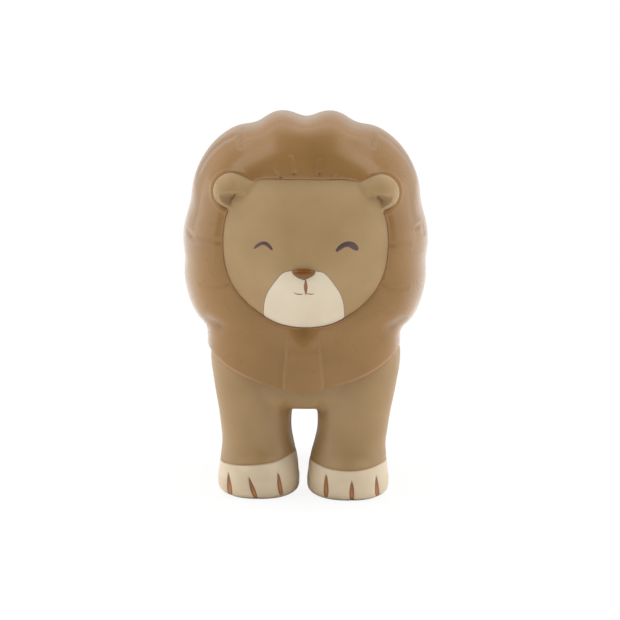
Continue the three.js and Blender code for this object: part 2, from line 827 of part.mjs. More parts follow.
function makeHead() {
  const cavity = joined([skullForm(-skinWall, coarseShare), neckBore]);
  const bed = skull.translate([0, muzzle.thickness + seatGap, 0]);
  const edge = behindPlane(head.edgeY - seatGap, head.centreHeight, 0);
  const recess = patchPrism(seatGap).subtract(bed).subtract(edge);
  const ears = [-1, 1].map((side) => earForm(side, 0).subtract(earBowl(side)));
  const outer = joined([skull, ...ears]).subtract(bodyClear).add(neckSpigot);
  let made = outer.subtract(cavity).subtract(recess).subtract(pegHole);
  for (const side of [-1, 1]) made = made.subtract(eyeGroove(side));
  return made;
}

function makeMuzzle() {
  const back = skull.translate([0, muzzle.thickness, 0]);
  const edge = behindPlane(head.edgeY - 2 * seatGap, head.centreHeight, 0);
  return skull.intersect(patchPrism(0)).subtract(back).subtract(edge).subtract(pegHole);
}

function makeNose() {
  const peg = cylinderAlong(
    nose.pegRadius,
    vector(0, noseSeatY - nose.proud / 2, noseHeight),
    vector(0, noseSeatY + nose.pegLength, noseHeight),
    facets.peg,
  );
  return noseForm().subtract(skullForm(seatGap)).add(peg);
}

function makeTail() {
  return tailForm(0).subtract(bodyClear).add(cylinderAlong(tail.plugRadius, tailPlugEnd, tailRoot, facets.peg));
}

function makeTuft() {
  const top = tail.tipHeight + tuft.socketDepth;
  const hang = new THREE.LineCurve3(
    vector(0, tailBack, top),
    vector(0, tailBack - tail.tipRadius, top - tuft.length),
  );
  const swell = curveThrough(tuftShares);
  const form = sweep(hang, facets.tuftRows, facets.tuft, (share, turn) => {
    const lobes = 1 + lobeShare * Math.cos(tuft.lobes * turn) * Math.sin(Math.PI * share);
    return tuft.radius * swell(share) * lobes;
  });
  return form.subtract(tailForm(seatGap));
}

function makeBellyPlug() {
  const low = torso.bellyHeight - seatGap - bellyPlug.flangeThickness;
  const disc = (radius, from, to) =>
    cylinderAlong(radius, vector(0, bellyPlug.y, from), vector(0, bellyPlug.y, to), facets.spigot);
  const flange = disc(bellyPlug.flangeRadius, low, torso.bellyHeight + skinWall / 2).subtract(bodyClear);
  const stem = disc(
    bellyPlug.radius,
    low + bellyPlug.flangeThickness / 2,
    torso.bellyHeight + skinWall + seatGap,
  );
  return flange.add(stem);
}

const material = (color, roughness) => new THREE.MeshStandardMaterial({ color, roughness, metalness: 0 });
const satinTan = material(0xa58a64, 0.45);
const mattTan = material(0xae9570, 0.6);
const glossBrown = material(0xa07c5c, 0.15);
const cream = material(0xd9c8ac, 0.35);
const noseBrown = material(0x9a6a3c, 0.2);

const lion = new THREE.Group();
function addPart(name, solid, finish) {
  const { vertProperties, triVerts } = solid.getMesh();
  const geometry = new THREE.BufferGeometry();
  geometry.setAttribute("position", new THREE.BufferAttribute(new Float32Array(vertProperties), 3));
  geometry.setIndex(new THREE.BufferAttribute(triVerts, 1));
  geometry.computeVertexNormals();
  const mesh = new THREE.Mesh(geometry, finish);
  mesh.name = name;
  lion.add(mesh);
}

addPart("body", makeBody(), satinTan);
for (const one of legs) addPart(`paw_${one.name}`, makePaw(one), cream);
const maneShell = makeMane();
addPart("mane_front", maneShell.subtract(bondClear), glossBrown);
addPart("mane_rear", maneShell.intersect(bondBehind), glossBrown);
addPart("head", makeHead(), mattTan);
addPart("muzzle", makeMuzzle(), cream);
addPart("nose", makeNose(), noseBrown);
addPart("tail", makeTail(), satinTan);
addPart("tail_tuft", makeTuft(), glossBrown);
addPart("belly_plug", makeBellyPlug(), satinTan);

// The origin goes on the floor under the middle of the figure's length.
const middle = new THREE.Box3().setFromObject(lion).getCenter(vector(0, 0, 0));
for (const mesh of lion.children) mesh.geometry.translate(0, -middle.y, 0);

export default lion;
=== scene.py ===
# %% [markdown]
# # A moulded toy lion
# This lesson dresses a finished CAD model of a small vinyl lion. The real figure is a set of hollow mouldings:
# a body with four legs, pale paws, a puffy two-part mane, a domed face with round ears, a muzzle, a nose and a
# tail. The CAD model fixes every size and place, so it is loaded first and never moved. Blender adds what it
# leaves out: soft blends, painted lines and finishes.

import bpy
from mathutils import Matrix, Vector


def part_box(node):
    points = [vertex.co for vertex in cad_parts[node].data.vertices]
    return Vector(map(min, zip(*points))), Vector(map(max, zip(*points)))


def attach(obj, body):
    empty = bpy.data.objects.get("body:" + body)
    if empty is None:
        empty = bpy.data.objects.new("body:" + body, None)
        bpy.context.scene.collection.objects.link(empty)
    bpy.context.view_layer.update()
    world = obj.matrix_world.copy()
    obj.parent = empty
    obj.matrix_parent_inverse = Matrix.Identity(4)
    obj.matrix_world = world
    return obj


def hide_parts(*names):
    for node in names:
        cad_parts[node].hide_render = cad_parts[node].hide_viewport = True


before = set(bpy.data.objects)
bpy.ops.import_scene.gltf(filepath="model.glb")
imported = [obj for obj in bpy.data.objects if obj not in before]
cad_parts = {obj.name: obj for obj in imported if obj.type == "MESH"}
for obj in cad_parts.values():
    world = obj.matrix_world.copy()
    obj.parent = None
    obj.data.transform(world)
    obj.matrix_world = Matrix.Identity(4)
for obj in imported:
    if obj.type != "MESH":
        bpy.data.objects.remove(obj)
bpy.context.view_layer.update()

import math

import bmesh
import bpy
import numpy as np
from mathutils import Matrix

# %% [markdown]
# The figure was drawn in millimetres about a point under its chest, and the model file's origin lies under
# the middle of its length. The belly plug shows how far apart the two are. All shapes are worked out in the
# drawing's millimetres and turned into metres of the frame when a mesh is made.

# %% From the drawing to the frame
PLUG_Y = 6.0
plug_low, plug_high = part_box("belly_plug")
shift = np.array([0.0, (plug_low.y + plug_high.y) * 500.0 - PLUG_Y, 0.0])


def to_metres(points):
    """Drawing millimetres to metres of the frame: each point moves along Y by the shift, over 1000."""
    return (np.asarray(points, float) + shift) * 0.001


def corners_mm(mesh):
    """The way back: the corners of a mesh in drawing millimetres."""
    flat = np.empty(len(mesh.vertices) * 3, np.float32)
    mesh.vertices.foreach_get("co", flat)
    return flat.reshape(-1, 3).astype(float) * 1000.0 - shift


print("the drawing's origin lies", round(-shift[1], 2), "mm behind the frame's")

# %% [markdown]
# ## Camera
# The photograph looks at the face almost straight on, from a little above and from far away, so its lines
# hardly converge. A long lens one metre away does the same. Three directions turn it: right, up and backwards.


# %% Camera
def stand(thing, right, top, back, place):
    """Puts a new object in the scene at a place in metres, turned by its three directions."""
    bpy.context.scene.collection.objects.link(thing)
    rows = [[right[i], top[i], back[i], place[i]] for i in range(3)]
    thing.matrix_world = Matrix(rows + [[0.0, 0.0, 0.0, 1.0]])


CAMERA_TURN, CAMERA_RISE, CAMERA_ROLL = (math.radians(degrees) for degrees in (1.0, 10.0, -0.5))
CAMERA_DISTANCE, LENS_MM, AIM_RIGHT, AIM_DOWN = 1.0, 186.4, 1.62, 5.08

level = np.array([math.cos(CAMERA_TURN), math.sin(CAMERA_TURN), 0.0])
backward = np.array([level[1] * math.cos(CAMERA_RISE), -level[0] * math.cos(CAMERA_RISE), math.sin(CAMERA_RISE)])
upward = np.cross(backward, level)
right = level * math.cos(CAMERA_ROLL) - upward * math.sin(CAMERA_ROLL)
up = upward * math.cos(CAMERA_ROLL) + level * math.sin(CAMERA_ROLL)
target = to_metres([0.0, -5.0, 60.0]) + (right * AIM_RIGHT - up * AIM_DOWN) * 0.001

camera = bpy.data.objects.new("camera", bpy.data.cameras.new("camera"))
camera.data.lens, camera.data.clip_end = LENS_MM, 20.0
stand(camera, right, up, backward, target + backward * CAMERA_DISTANCE)
bpy.context.scene.camera = camera
bpy.context.scene.view_settings.view_transform = "Standard"
print("camera at", [round(v, 3) for v in camera.matrix_world.translation])

# %% [markdown]
# ## Light
# The photograph was taken in a light tent: white walls and ceiling, long low boxes to the left and right, and
# a dim room on the camera's side. The glossy mane mirrors them as pale patches and a dark one. Three area
# lamps stand for the boxes.


# %% Lamps
def soft_box(name, place, aim, width, height, watts):
    """A rectangular lamp at a place in metres, which faces the aim."""
    lamp = bpy.data.objects.new(name, bpy.data.lights.new(name, "AREA"))
    lamp.data.shape = "RECTANGLE"
    lamp.data.size, lamp.data.size_y, lamp.data.energy = width, height, watts
    away = np.subtract(place, aim)
    away /= np.linalg.norm(away)
    side = np.cross([0.0, 0.0, 1.0], away) if abs(away[2]) < 0.95 else np.array([1.0, 0.0, 0.0])
    side /= np.linalg.norm(side)
    stand(lamp, side, np.cross(away, side), away, place)


FIGURE_MIDDLE = (0.0, 0.0, 0.065)
soft_box("box_left", (-0.6, 0.0, 0.12), FIGURE_MIDDLE, 0.9, 0.28, 0.8)
soft_box("box_right", (0.6, 0.0, 0.12), FIGURE_MIDDLE, 0.9, 0.28, 0.66)
soft_box("box_above", (0.0, 0.3, 0.95), (0.0, 0.3, 0.0), 1.5, 0.9, 4.6)

# %% [markdown]
# Shaders are small networks of nodes. A few helpers keep them short: each node is made in one call, and each
# of its inputs gets a number, a colour, or the output of another node.


# %% Node helpers
def wire(tree, node, inputs):
    """Fills the inputs of a node; another node given as a value stands for its first output."""
    for key, value in inputs.items():
        value = value.outputs[0] if isinstance(value, bpy.types.Node) else value
        if isinstance(value, bpy.types.NodeSocket):
            tree.links.new(value, node.inputs[key])
        else:
            node.inputs[key].default_value = value


def add(tree, kind, inputs=None, **settings):
    """A new shader node of a kind, with its settings and inputs."""
    node = tree.nodes.new("ShaderNode" + kind)
    for key, value in settings.items():
        setattr(node, key, value)
    wire(tree, node, inputs or {})
    return node


def map_range(tree, value, low, high, to_low, to_high, **settings):
    """Turns numbers from low to high into numbers from to_low to to_high."""
    inputs = {"Value": value, "From Min": low, "From Max": high, "To Min": to_low, "To Max": to_high}
    return add(tree, "MapRange", inputs, **settings)


def marked(tree, name):
    """The number that each corner of a mesh carries under a name."""
    return add(tree, "Attribute", attribute_name=name).outputs["Fac"]


# %% [markdown]
# The world is white to the eye and to reflections. Its light on everything else is brighter from the
# sides than from the camera's side, like the light of the tent.

# %% World
LIGHT_FROM_CAMERA, LIGHT_FROM_SIDES = 0.35, 1.42
world = bpy.data.worlds.new("studio")
bpy.context.scene.world = world
world.use_nodes = True
sky = world.node_tree
sky.nodes.clear()
rays = add(sky, "LightPath").outputs
mirrored = add(sky, "Math", {0: rays["Is Glossy Ray"], 1: rays["Is Transmission Ray"]}, operation="MAXIMUM")
seen = add(sky, "Math", {0: rays["Is Camera Ray"], 1: mirrored}, operation="MAXIMUM")
way = add(sky, "SeparateXYZ", {0: add(sky, "TexCoord").outputs["Generated"]}).outputs
strength = map_range(sky, way["Y"], -0.78, -0.12, LIGHT_FROM_CAMERA, LIGHT_FROM_SIDES,
                     interpolation_type="SMOOTHSTEP")
room = add(sky, "Background", {"Color": (1.0, 0.99, 0.975, 1.0), "Strength": strength})
white = add(sky, "Background", {"Strength": 1.0})
add(sky, "OutputWorld", {"Surface": add(sky, "MixShader", {0: seen, 1: room, 2: white})})
print("world nodes:", len(sky.nodes))

# %% [markdown]
# ## Curves and grids
# Outlines and profiles are short tables of a place and a value, and a smooth curve runs through each. A few
# small sums come back in many shapes: a bell, a soft step, and the rounded larger of two numbers.


# %% Curves and small sums
def bell(distance, width):
    """1 where the distance is 0, falling off to both sides."""
    return np.exp(-(distance / width) ** 2)


def ease(value, low, high):
    """0 below low, 1 above high, and an S-curve between them."""
    t = np.clip((value - low) / (high - low), 0.0, 1.0)
    return t * t * (3 - 2 * t)


def larger(one, other, soft):
    """The larger of two numbers, rounded into each other where they differ by less than soft."""
    share = np.clip(0.5 + 0.5 * (one - other) / soft, 0.0, 1.0)
    return other + (one - other) * share + soft * share * (1 - share)


def curve(pairs):
    """Cubic pieces through [place, value] rows, flat at both ends, as a function of whole arrays."""
    places, values = np.array(pairs, float).T
    slopes = np.zeros(len(places))
    slopes[1:-1] = (values[2:] - values[:-2]) / (places[2:] - places[:-2])

    def value_at(place):
        place = np.asarray(place, float)
        i = np.clip(np.searchsorted(places, place, side="right") - 1, 0, len(places) - 2)
        span = places[i + 1] - places[i]
        t = np.clip((place - places[i]) / span, 0.0, 1.0)
        rise = (t ** 3 - 2 * t ** 2 + t) * span * slopes[i] + (t ** 3 - t ** 2) * span * slopes[i + 1]
        return (2 * t ** 3 - 3 * t ** 2 + 1) * values[i] + (3 * t ** 2 - 2 * t ** 3) * values[i + 1] + rise

    return value_at


def round_outline(pairs, blur_degrees):
    """The same for an outline in degrees from the top, alike on both sides and softened by a bell."""
    step = 0.25
    angles = np.arange(-360.0, 360.0, step)
    folded = np.abs((angles + 180.0) % 360.0 - 180.0)
    reach = np.arange(-4 * blur_degrees, 4 * blur_degrees + step, step)
    weight = np.exp(-0.5 * (reach / blur_degrees) ** 2)
    softened = np.convolve(curve(pairs)(folded), weight / weight.sum(), mode="same")
    kept = (angles >= 0) & (angles <= 180)
    return lambda angle: np.interp(angle, angles[kept], softened[kept])


def halved(is_inside, shape, near, far):
    """The distance at which is_inside turns false, by halving the way from near to far 24 times."""
    near, far = np.full(shape, near), np.full(shape, far)
    for _ in range(24):
        middle = (near + far) / 2
        inside = is_inside(middle)
        near, far = np.where(inside, middle, near), np.where(inside, far, middle)
    return (near + far) / 2


# %% [markdown]
# Almost every piece is a surface that two numbers walk over, such as the turn round a leg and the height on
# it. Numpy works out all its corners at once. The helpers join them by four-sided faces, merge the corners of
# seams and poles, and turn the faces outwards. Numbers for each corner go in as attributes.


# %% Grid and mesh helpers
def around(count):
    """Equal turns round a circle, as one row of a grid."""
    return np.linspace(0, 2 * np.pi, count, endpoint=False)[None, :]


def boxy(turn, power):
    """The cosine and sine of a turn, bent so that a circle becomes a rounded box."""
    return [np.sign(way) * np.abs(way) ** (2 / power) for way in (np.cos(turn), np.sin(turn))]


def grid(x, y, z):
    """The corners of a grid from tables, rows or columns of coordinates."""
    return np.stack(np.broadcast_arrays(x, y, z), -1)


def close_ends(points):
    """The grid with a row more at each end, which is drawn together to one point."""
    ends = [np.broadcast_to(row.mean(0), row.shape)[None] for row in (points[0], points[-1])]
    return np.concatenate([ends[0], points, ends[1]])


def grid_faces(rows, columns, rows_close=False, columns_close=True):
    """The four-sided faces between neighbouring rows and columns of a grid of corners."""
    row = np.arange(rows if rows_close else rows - 1)[:, None]
    column = np.arange(columns if columns_close else columns - 1)[None, :]
    here, there = row * columns, ((row + 1) % rows) * columns
    beside = (column + 1) % columns
    return np.stack([here + column, here + beside, there + beside, there + column], -1).reshape(-1, 4)


def mark_corners(mesh, marks):
    """Stores numbers for each corner of a mesh, which a finish can read by their name."""
    for name, values in marks.items():
        layer = mesh.attributes.new(name, "FLOAT", "POINT")
        layer.data.foreach_set("value", np.asarray(values, np.float32).ravel())


def make(name, points, faces=None, marks=None, merge_mm=0.0005):
    """An object with these corners, in drawing millimetres, and with the grid's own faces if none are given."""
    faces = grid_faces(*points.shape[:2]) if faces is None else faces
    mesh = bpy.data.meshes.new(name)
    mesh.from_pydata(to_metres(points.reshape(-1, 3)).tolist(), [], [list(face) for face in faces])
    mark_corners(mesh, marks or {})
    shell = bmesh.new()
    shell.from_mesh(mesh)
    bmesh.ops.remove_doubles(shell, verts=shell.verts, dist=merge_mm * 0.001)
    bmesh.ops.recalc_face_normals(shell, faces=shell.faces)
    shell.to_mesh(mesh)
    shell.free()
    mesh.shade_smooth()
    piece = bpy.data.objects.new(name, mesh)
    bpy.context.scene.collection.objects.link(piece)
    return piece


def dress(piece, slot, finish, *nodes, sharp=None):
    """Gives a piece its finish and place in the frame, and lets it stand for CAD nodes; the slot is not used."""
    piece.data.materials.clear()
    piece.data.materials.append(finish)
    if sharp:
        piece.data.set_sharp_from_angle(angle=math.radians(sharp))
    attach(piece, "root")
    if nodes:
        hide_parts(*nodes)
    print(f"{piece.name}: {len(piece.data.polygons)} faces, {[round(v * 1000, 1) for v in piece.dimensions]} mm")


# %% [markdown]
# ## Finishes
# The figure is vinyl, sprayed and lacquered. One flat colour would look dead, so each finish has a slow change
# of tone, a fine grain that only the highlights show, and a few specks from the mould. The patterns read the
# object's own coordinates, so they stay on the piece. Colours are written as the eye sees them, 0 to 255, and
# turned into the shader's linear numbers.


# %% Finish helper
def linear(colour):
    """Eye colour, 0 to 255, to the linear numbers that a shader takes."""
    part = np.asarray(colour, float) / 255.0
    part = np.where(part <= 0.04045, part / 12.92, ((part + 0.055) / 1.055) ** 2.4)
    return (*part, 1.0)


SPECK_SPACING_MM, GLOSS_PATCH_MM, COAT_ROUGHNESS = 5.0, 6.0, 0.09


def vinyl(name, dark, light, roughness, grain_mm=0.35, grain_depth_mm=0.004, coat=0.0, tints=(),
          patch_mm=14.0, speck_colour=(96, 70, 44), speck_share=0.006, specular=0.5):
    """Moulded vinyl: two tones in slow patches, grain, specks, and tints where an attribute says so."""
    finish = bpy.data.materials.new(name)
    finish.use_nodes = True
    tree = finish.node_tree
    place = add(tree, "TexCoord").outputs["Object"]

    def noise(size_mm, detail):
        return add(tree, "TexNoise", {"Vector": place, "Scale": 1000.0 / size_mm, "Detail": detail})

    def tinted(share, below, tint):
        inputs = {"Factor": share, "A": below, "B": linear(tint)}
        return add(tree, "Mix", inputs, data_type="RGBA").outputs["Result"]

    tones = add(tree, "ValToRGB", {"Fac": noise(patch_mm, 3.0)})
    for element, at, tone in zip(tones.color_ramp.elements, (0.36, 0.64), (dark, light)):
        element.position, element.color = at, linear(tone)
    cells = add(tree, "TexVoronoi", {"Vector": place, "Scale": 1000.0 / SPECK_SPACING_MM})
    colour = tinted(map_range(tree, cells, 0.03, 0.045, speck_share * 60, 0.0), tones, speck_colour)
    for mark, tint, strength in tints:
        colour = tinted(map_range(tree, marked(tree, mark), 0.0, 1.0, 0.0, strength), colour, tint)
    gloss = map_range(tree, noise(GLOSS_PATCH_MM, 2.0), 0.3, 0.7, roughness * 0.85, roughness * 1.15)
    grain = add(tree, "Bump", {"Strength": 1.0, "Distance": grain_depth_mm * 0.001,
                                    "Height": noise(grain_mm, 4.0)})
    wire(tree, tree.nodes["Principled BSDF"], {
        "Base Color": colour, "Roughness": gloss, "Normal": grain, "Specular IOR Level": specular,
        "Coat Weight": coat, "Coat Roughness": COAT_ROUGHNESS})
    return finish


# %% The finishes of this figure
# The body's darker tint in folds is painted shade.
body_vinyl = vinyl("tan_satin_vinyl", (151, 121, 78), (158, 128, 85), 0.42, grain_mm=0.5, grain_depth_mm=0.006,
                   tints=[("paint_line", (120, 84, 44), 0.45), ("painted_hollow_light_and_shade", (112, 88, 56), 0.5)])
# The head's lighter tint in the ear bowls is painted light in their shade.
head_vinyl = vinyl("tan_matt_vinyl", (155, 126, 84), (163, 134, 92), 0.5, grain_mm=0.4, grain_depth_mm=0.008,
                   tints=[("painted_hollow_light_and_shade", (184, 158, 122), 0.8)], speck_share=0.003)
# The mane's lip tint is a painted highlight on the lip and the hem; its crease tint is painted shade.
mane_vinyl = vinyl("brown_gloss_lacquer", (139, 104, 60), (147, 111, 67), 0.3, grain_mm=0.9,
                   grain_depth_mm=0.002, coat=0.36, patch_mm=18.0, specular=0.15,
                   tints=[("lip", (190, 146, 118), 0.5), ("crease_with_painted_shade", (84, 58, 32), 0.75)])
paw_paint = vinyl("cream_satin_paint", (203, 185, 156), (211, 193, 165), 0.36, grain_mm=0.5,
                  tints=[("paint_line", (150, 116, 74), 0.4)], speck_colour=(180, 150, 110))
muzzle_paint = vinyl("cream_matt_paint", (205, 191, 167), (212, 199, 176), 0.5, grain_mm=0.4,
                     grain_depth_mm=0.005, speck_colour=(190, 170, 140), speck_share=0.003)
# The nose's lower part is tinted olive brown: a painted reflection of the muzzle.
nose_lacquer = vinyl("rust_gloss_lacquer", (112, 66, 14), (126, 76, 22), 0.22, coat=0.25, patch_mm=3.0,
                     tints=[("below", (106, 78, 44), 0.85)], speck_share=0.0, specular=0.3)
eye_paint = vinyl("plum_brown_paint", (70, 48, 48), (86, 62, 60), 0.4, patch_mm=2.0, speck_share=0.0)
claw_paint = vinyl("rust_claw_paint", (126, 80, 44), (146, 94, 54), 0.35, patch_mm=2.5, speck_share=0.0,
                   tints=[("middle", (190, 128, 66), 0.65)])
mouth_paint = vinyl("umber_mouth_paint", (122, 76, 42), (138, 90, 54), 0.4, patch_mm=2.0, speck_share=0.0)
muzzle_edge_grey = vinyl("grey_muzzle_edge", (112, 100, 84), (128, 116, 98), 0.5, patch_mm=2.0, speck_share=0.0)
print("finishes:", [m.name for m in bpy.data.materials if m.use_nodes])

# %% [markdown]
# ## Floor
# The figure stands on a white sheet. It is bright to the eye, as in the photograph, and still keeps the soft
# shadow, because near the figure part of what the eye sees is ordinary white paint.


# %% Floor
def studio_card(name, finish_name, corners, faces):
    """A card of the studio, with the node tree and the plain shader of its material."""
    mesh, finish = bpy.data.meshes.new(name), bpy.data.materials.new(finish_name)
    mesh.from_pydata(corners, [], faces)
    mesh.materials.append(finish)
    finish.use_nodes = True
    card = bpy.data.objects.new(name, mesh)
    bpy.context.scene.collection.objects.link(card)
    return card, finish.node_tree, finish.node_tree.nodes["Principled BSDF"]


FLOOR_HALF = 2.5
floor, tree, paper = studio_card(
    "floor", "white_sheet", [(-FLOOR_HALF, -FLOOR_HALF, 0), (FLOOR_HALF, -FLOOR_HALF, 0),
                             (FLOOR_HALF, FLOOR_HALF, 0), (-FLOOR_HALF, FLOOR_HALF, 0)], [(0, 1, 2, 3)])
wire(tree, paper, {"Base Color": (0.94, 0.94, 0.94, 1.0), "Roughness": 0.9})
from_middle = add(tree, "VectorMath", {0: add(tree, "TexCoord").outputs["Object"]}, operation="LENGTH")
further = map_range(tree, from_middle.outputs["Value"], 0.08, 0.3, 0.9, 1.0)
share = add(tree, "Math", {0: add(tree, "LightPath").outputs["Is Camera Ray"], 1: further},
                 operation="MULTIPLY")
bright = add(tree, "MixShader", {0: share, 1: paper, 2: add(tree, "Emission", {"Strength": 1.0})})
wire(tree, tree.nodes["Material Output"], {"Surface": bright})
print("floor:", FLOOR_HALF * 2, "m wide")

# %% [markdown]
# The dim room in front of the tent is a dark screen, bent over the figure like a barrel, which only
# reflections see. It gives the mane its dark crown, and a brighter pane stands on each side of it. Two tables
# shape the dark by the climb over the figure in degrees: its reach to each side, as a share of the radius,
# and its density.

# %% Dark screen
SCREEN_RADIUS, SCREEN_REACH, SCREEN_LOW, SCREEN_HIGH, WINDOW_GLOW = 0.85, 0.86, 1.0, 150.0, 3.2
SCREEN_ROWS, SCREEN_COLUMNS = 46, 35
screen_half = curve([[0, 0.84], [14, 0.8], [24, 0.58], [36, 0.3], [50, 0.25], [66, 0.29], [88, 0.36],
                             [110, 0.5], [150, 0.6]])
screen_dark = curve([[0, 1], [84, 1], [89, 0.95], [93, 0.62], [104, 0.58], [108, 0.32], [122, 0.28],
                             [127, 0.06], [150, 0]])
sideways = np.linspace(-SCREEN_REACH, SCREEN_REACH, SCREEN_COLUMNS)[None, :]
climb = np.linspace(SCREEN_LOW, SCREEN_HIGH, SCREEN_ROWS)[:, None]
out = SCREEN_RADIUS * np.sqrt(1 - sideways ** 2)
barrel = grid(SCREEN_RADIUS * sideways, -out * np.cos(np.radians(climb)), out * np.sin(np.radians(climb)))
card, tree, felt = studio_card("dark_screen", "dark_felt", barrel.reshape(-1, 3).tolist(),
                               grid_faces(SCREEN_ROWS, SCREEN_COLUMNS, columns_close=False).tolist())
past_dark = np.abs(sideways) - screen_half(climb)
mark_corners(card.data, {
    "cover": ease(-past_dark, 0.0, 0.08) * screen_dark(climb),
    "window": ease(past_dark, 0.0, 0.07) * ease(0.8 - np.abs(sideways), 0.0, 0.1)
    * ease(climb, 42.0, 52.0) * ease(-climb, -88.0, -78.0)})
wire(tree, felt, {"Base Color": (0.03, 0.028, 0.025, 1.0)})
thinned = add(tree, "MixShader", {0: marked(tree, "cover"), 1: add(tree, "BsdfTransparent"), 2: felt})
pane = add(tree, "Emission", {"Strength": WINDOW_GLOW})
lit = add(tree, "MixShader", {0: marked(tree, "window"), 1: thinned, 2: pane})
wire(tree, tree.nodes["Material Output"], {"Surface": lit})
card.visible_camera = card.visible_diffuse = card.visible_shadow = card.visible_transmission = False
print("the screen has", len(card.data.polygons), "faces")

# %% [markdown]
# ## The face as a height
# The face is a dome with a snout that swells out of it. In front view, each place lies at a share of the way
# from the middle to the outline, and that share gives how far it stands forward. Muzzle, nose, eyes and mouth
# lie on this one surface, so it comes first.

# %% Face outline and dome
HEAD_Z, FACE_RADIUS, EDGE_Y, DOME_ROUND, SKULL_DEPTH = 79.7, 25.2, -33.2, 1.65, 15.3
SNOUT_RISE, SNOUT_ACROSS, SNOUT_UP, SNOUT_Z = 2.6, 11.0, 8.5, 69.0
FACE_X = 0.65
face_share = round_outline(
    [[0, 0.79], [18, 0.83], [36, 0.965], [45, 1.005], [54, 1.03], [67, 1.017], [90, 0.99], [118, 1.003],
     [133, 0.998], [148, 1], [162, 1.012], [180, 1.004]], 2.0)


def from_top(x, height):
    """The angle of a place in front view, in degrees from straight up."""
    return np.degrees(np.arctan2(np.abs(x), height))


def out_of_face(x, z):
    """The share of the way from the face's middle to its outline; the face sits a touch off centre."""
    return np.hypot(x - FACE_X, z - HEAD_Z) / (FACE_RADIUS * face_share(from_top(x - FACE_X, z - HEAD_Z)))


def face_y(x, z):
    """Where the face's surface lies: the dome is a cap of a ball of 1.65 face radii, the snout a bell."""
    share = np.clip(out_of_face(x, z), 0.0, 1.0)
    snout = SNOUT_RISE * np.exp(-((x - FACE_X) / SNOUT_ACROSS) ** 2 - ((z - SNOUT_Z) / SNOUT_UP) ** 2)
    cap = np.sqrt(DOME_ROUND ** 2 - share ** 2) - math.sqrt(DOME_ROUND ** 2 - 1)
    return EDGE_Y - FACE_RADIUS * cap - snout * (1 - share ** 6)


print("the snout's tip is at y", round(float(face_y(np.array(0.0), np.array(SNOUT_Z))), 1), "mm")

# %% [markdown]
# ## The mane
# The mane is the hardest piece: a puffy ring round the face, a hood behind the head and a bib over the chest,
# in one skin. Along any ray from the middle of the head, the ring's skin lies at one distance and the bib's at
# another. The larger one is the mane's skin, and where they are nearly equal they are rounded together.

# %% Ring, hood and bib
MANE_Z, MANE_RADIUS, WIDEST_Y, RING_DEPTH, HOOD_DEPTH, HOOD_POWER = 81.5, 38.6, -7.0, 26.5, 25.0, 2.15
BIB_HALF_WIDTH, BIB_DEPTH, BIB_REAR, BIB_POWER = 29.9, 26.5, 15.0, 3.4
RAY_START = np.array([0.0, -7.0, 72.0])
mane_share = round_outline(
    [[0, 0.958], [25, 0.975], [48, 1.008], [78, 0.975], [100, 1.003], [118, 1.08], [129, 1.122],
     [137, 1.1], [148, 1.04], [180, 0.97]], 2.5)

# The ring is flat in front at its top, and rounder at its sides
ring_power = curve([[0, 2.6], [16, 2.55], [45, 1.95], [90, 1.9], [130, 2.2], [180, 2.4]])


def mane_radius(x, angle):
    """The ring's radius in front view, a touch smaller on the figure's right."""
    return MANE_RADIUS * mane_share(angle) * (1 - 0.008 * ease(-x, 0.0, 20.0))


def ring_share(x, z):
    """How far out a place in front view lies, 0 on the face's outline and 1 on the ring's."""
    share = np.full(np.shape(x), 0.5)
    for _ in range(3):
        height = z - HEAD_Z - (MANE_Z - HEAD_Z) * share
        across = x - FACE_X * (1 - share)
        angle = from_top(across, height)
        inner, outer = FACE_RADIUS * face_share(angle), mane_radius(across, angle)
        share = np.clip((np.hypot(across, height) - inner) / (outer - inner), -1.0, 3.0)
    return share, angle


def ring_value(points):
    """Below 0 inside the ring and hood: powers of the share out and of the share forward or back."""
    x, y, z = np.moveaxis(points - [0.0, WIDEST_Y, 0.0], -1, 0)
    share, angle = ring_share(x, z)
    power = ring_power(angle)
    front = np.maximum(share, 0.0) ** power + (np.abs(y) / RING_DEPTH) ** power - 1
    outer = np.hypot(x, z - MANE_Z) / mane_radius(x, from_top(x, z - MANE_Z))
    return np.where(y < 0, front, outer ** HOOD_POWER + (np.abs(y) / HOOD_DEPTH) ** HOOD_POWER - 1)


def ring_reach(ways):
    """How far along each ray the ring's skin lies."""
    return halved(lambda out: ring_value(RAY_START + ways * out[..., None]) < 0, ways.shape[:-1], 4.0, 80.0)


def bib_reach(ways):
    """The same for the bib, a rounded box: one over the root of the sum of two powers."""
    across = (np.abs(ways[..., 0]) / BIB_HALF_WIDTH) ** BIB_POWER
    along = (np.abs(ways[..., 1]) / np.where(ways[..., 1] > 0, BIB_REAR, BIB_DEPTH)) ** BIB_POWER
    return (across + along + 1e-9) ** (-1 / BIB_POWER) * ease(-ways[..., 2], 0.02, 0.22)


def mane_place(ways):
    """The mane's skin along rays, and how much further the ring reaches than the bib."""
    ring, bib = ring_reach(ways), bib_reach(ways)
    reach = larger(ring, bib, 2.0 + 1.5 * bell(ways[..., 0], 0.45))
    return RAY_START + ways * reach[..., None], ring - bib


print("straight up the ring reaches", round(float(ring_reach(np.array([[0.0, 0.0, 1.0]]))[0]), 1), "mm")

# %% [markdown]
# ### Where the mane ends
# The skin has two edges: the lip round the face and the hem over the body. In front view the hem is a slack
# curve from side to side, and in side view it climbs to the back. Behind that, the hood dips into the
# shoulders, so the torso's shape is needed too.

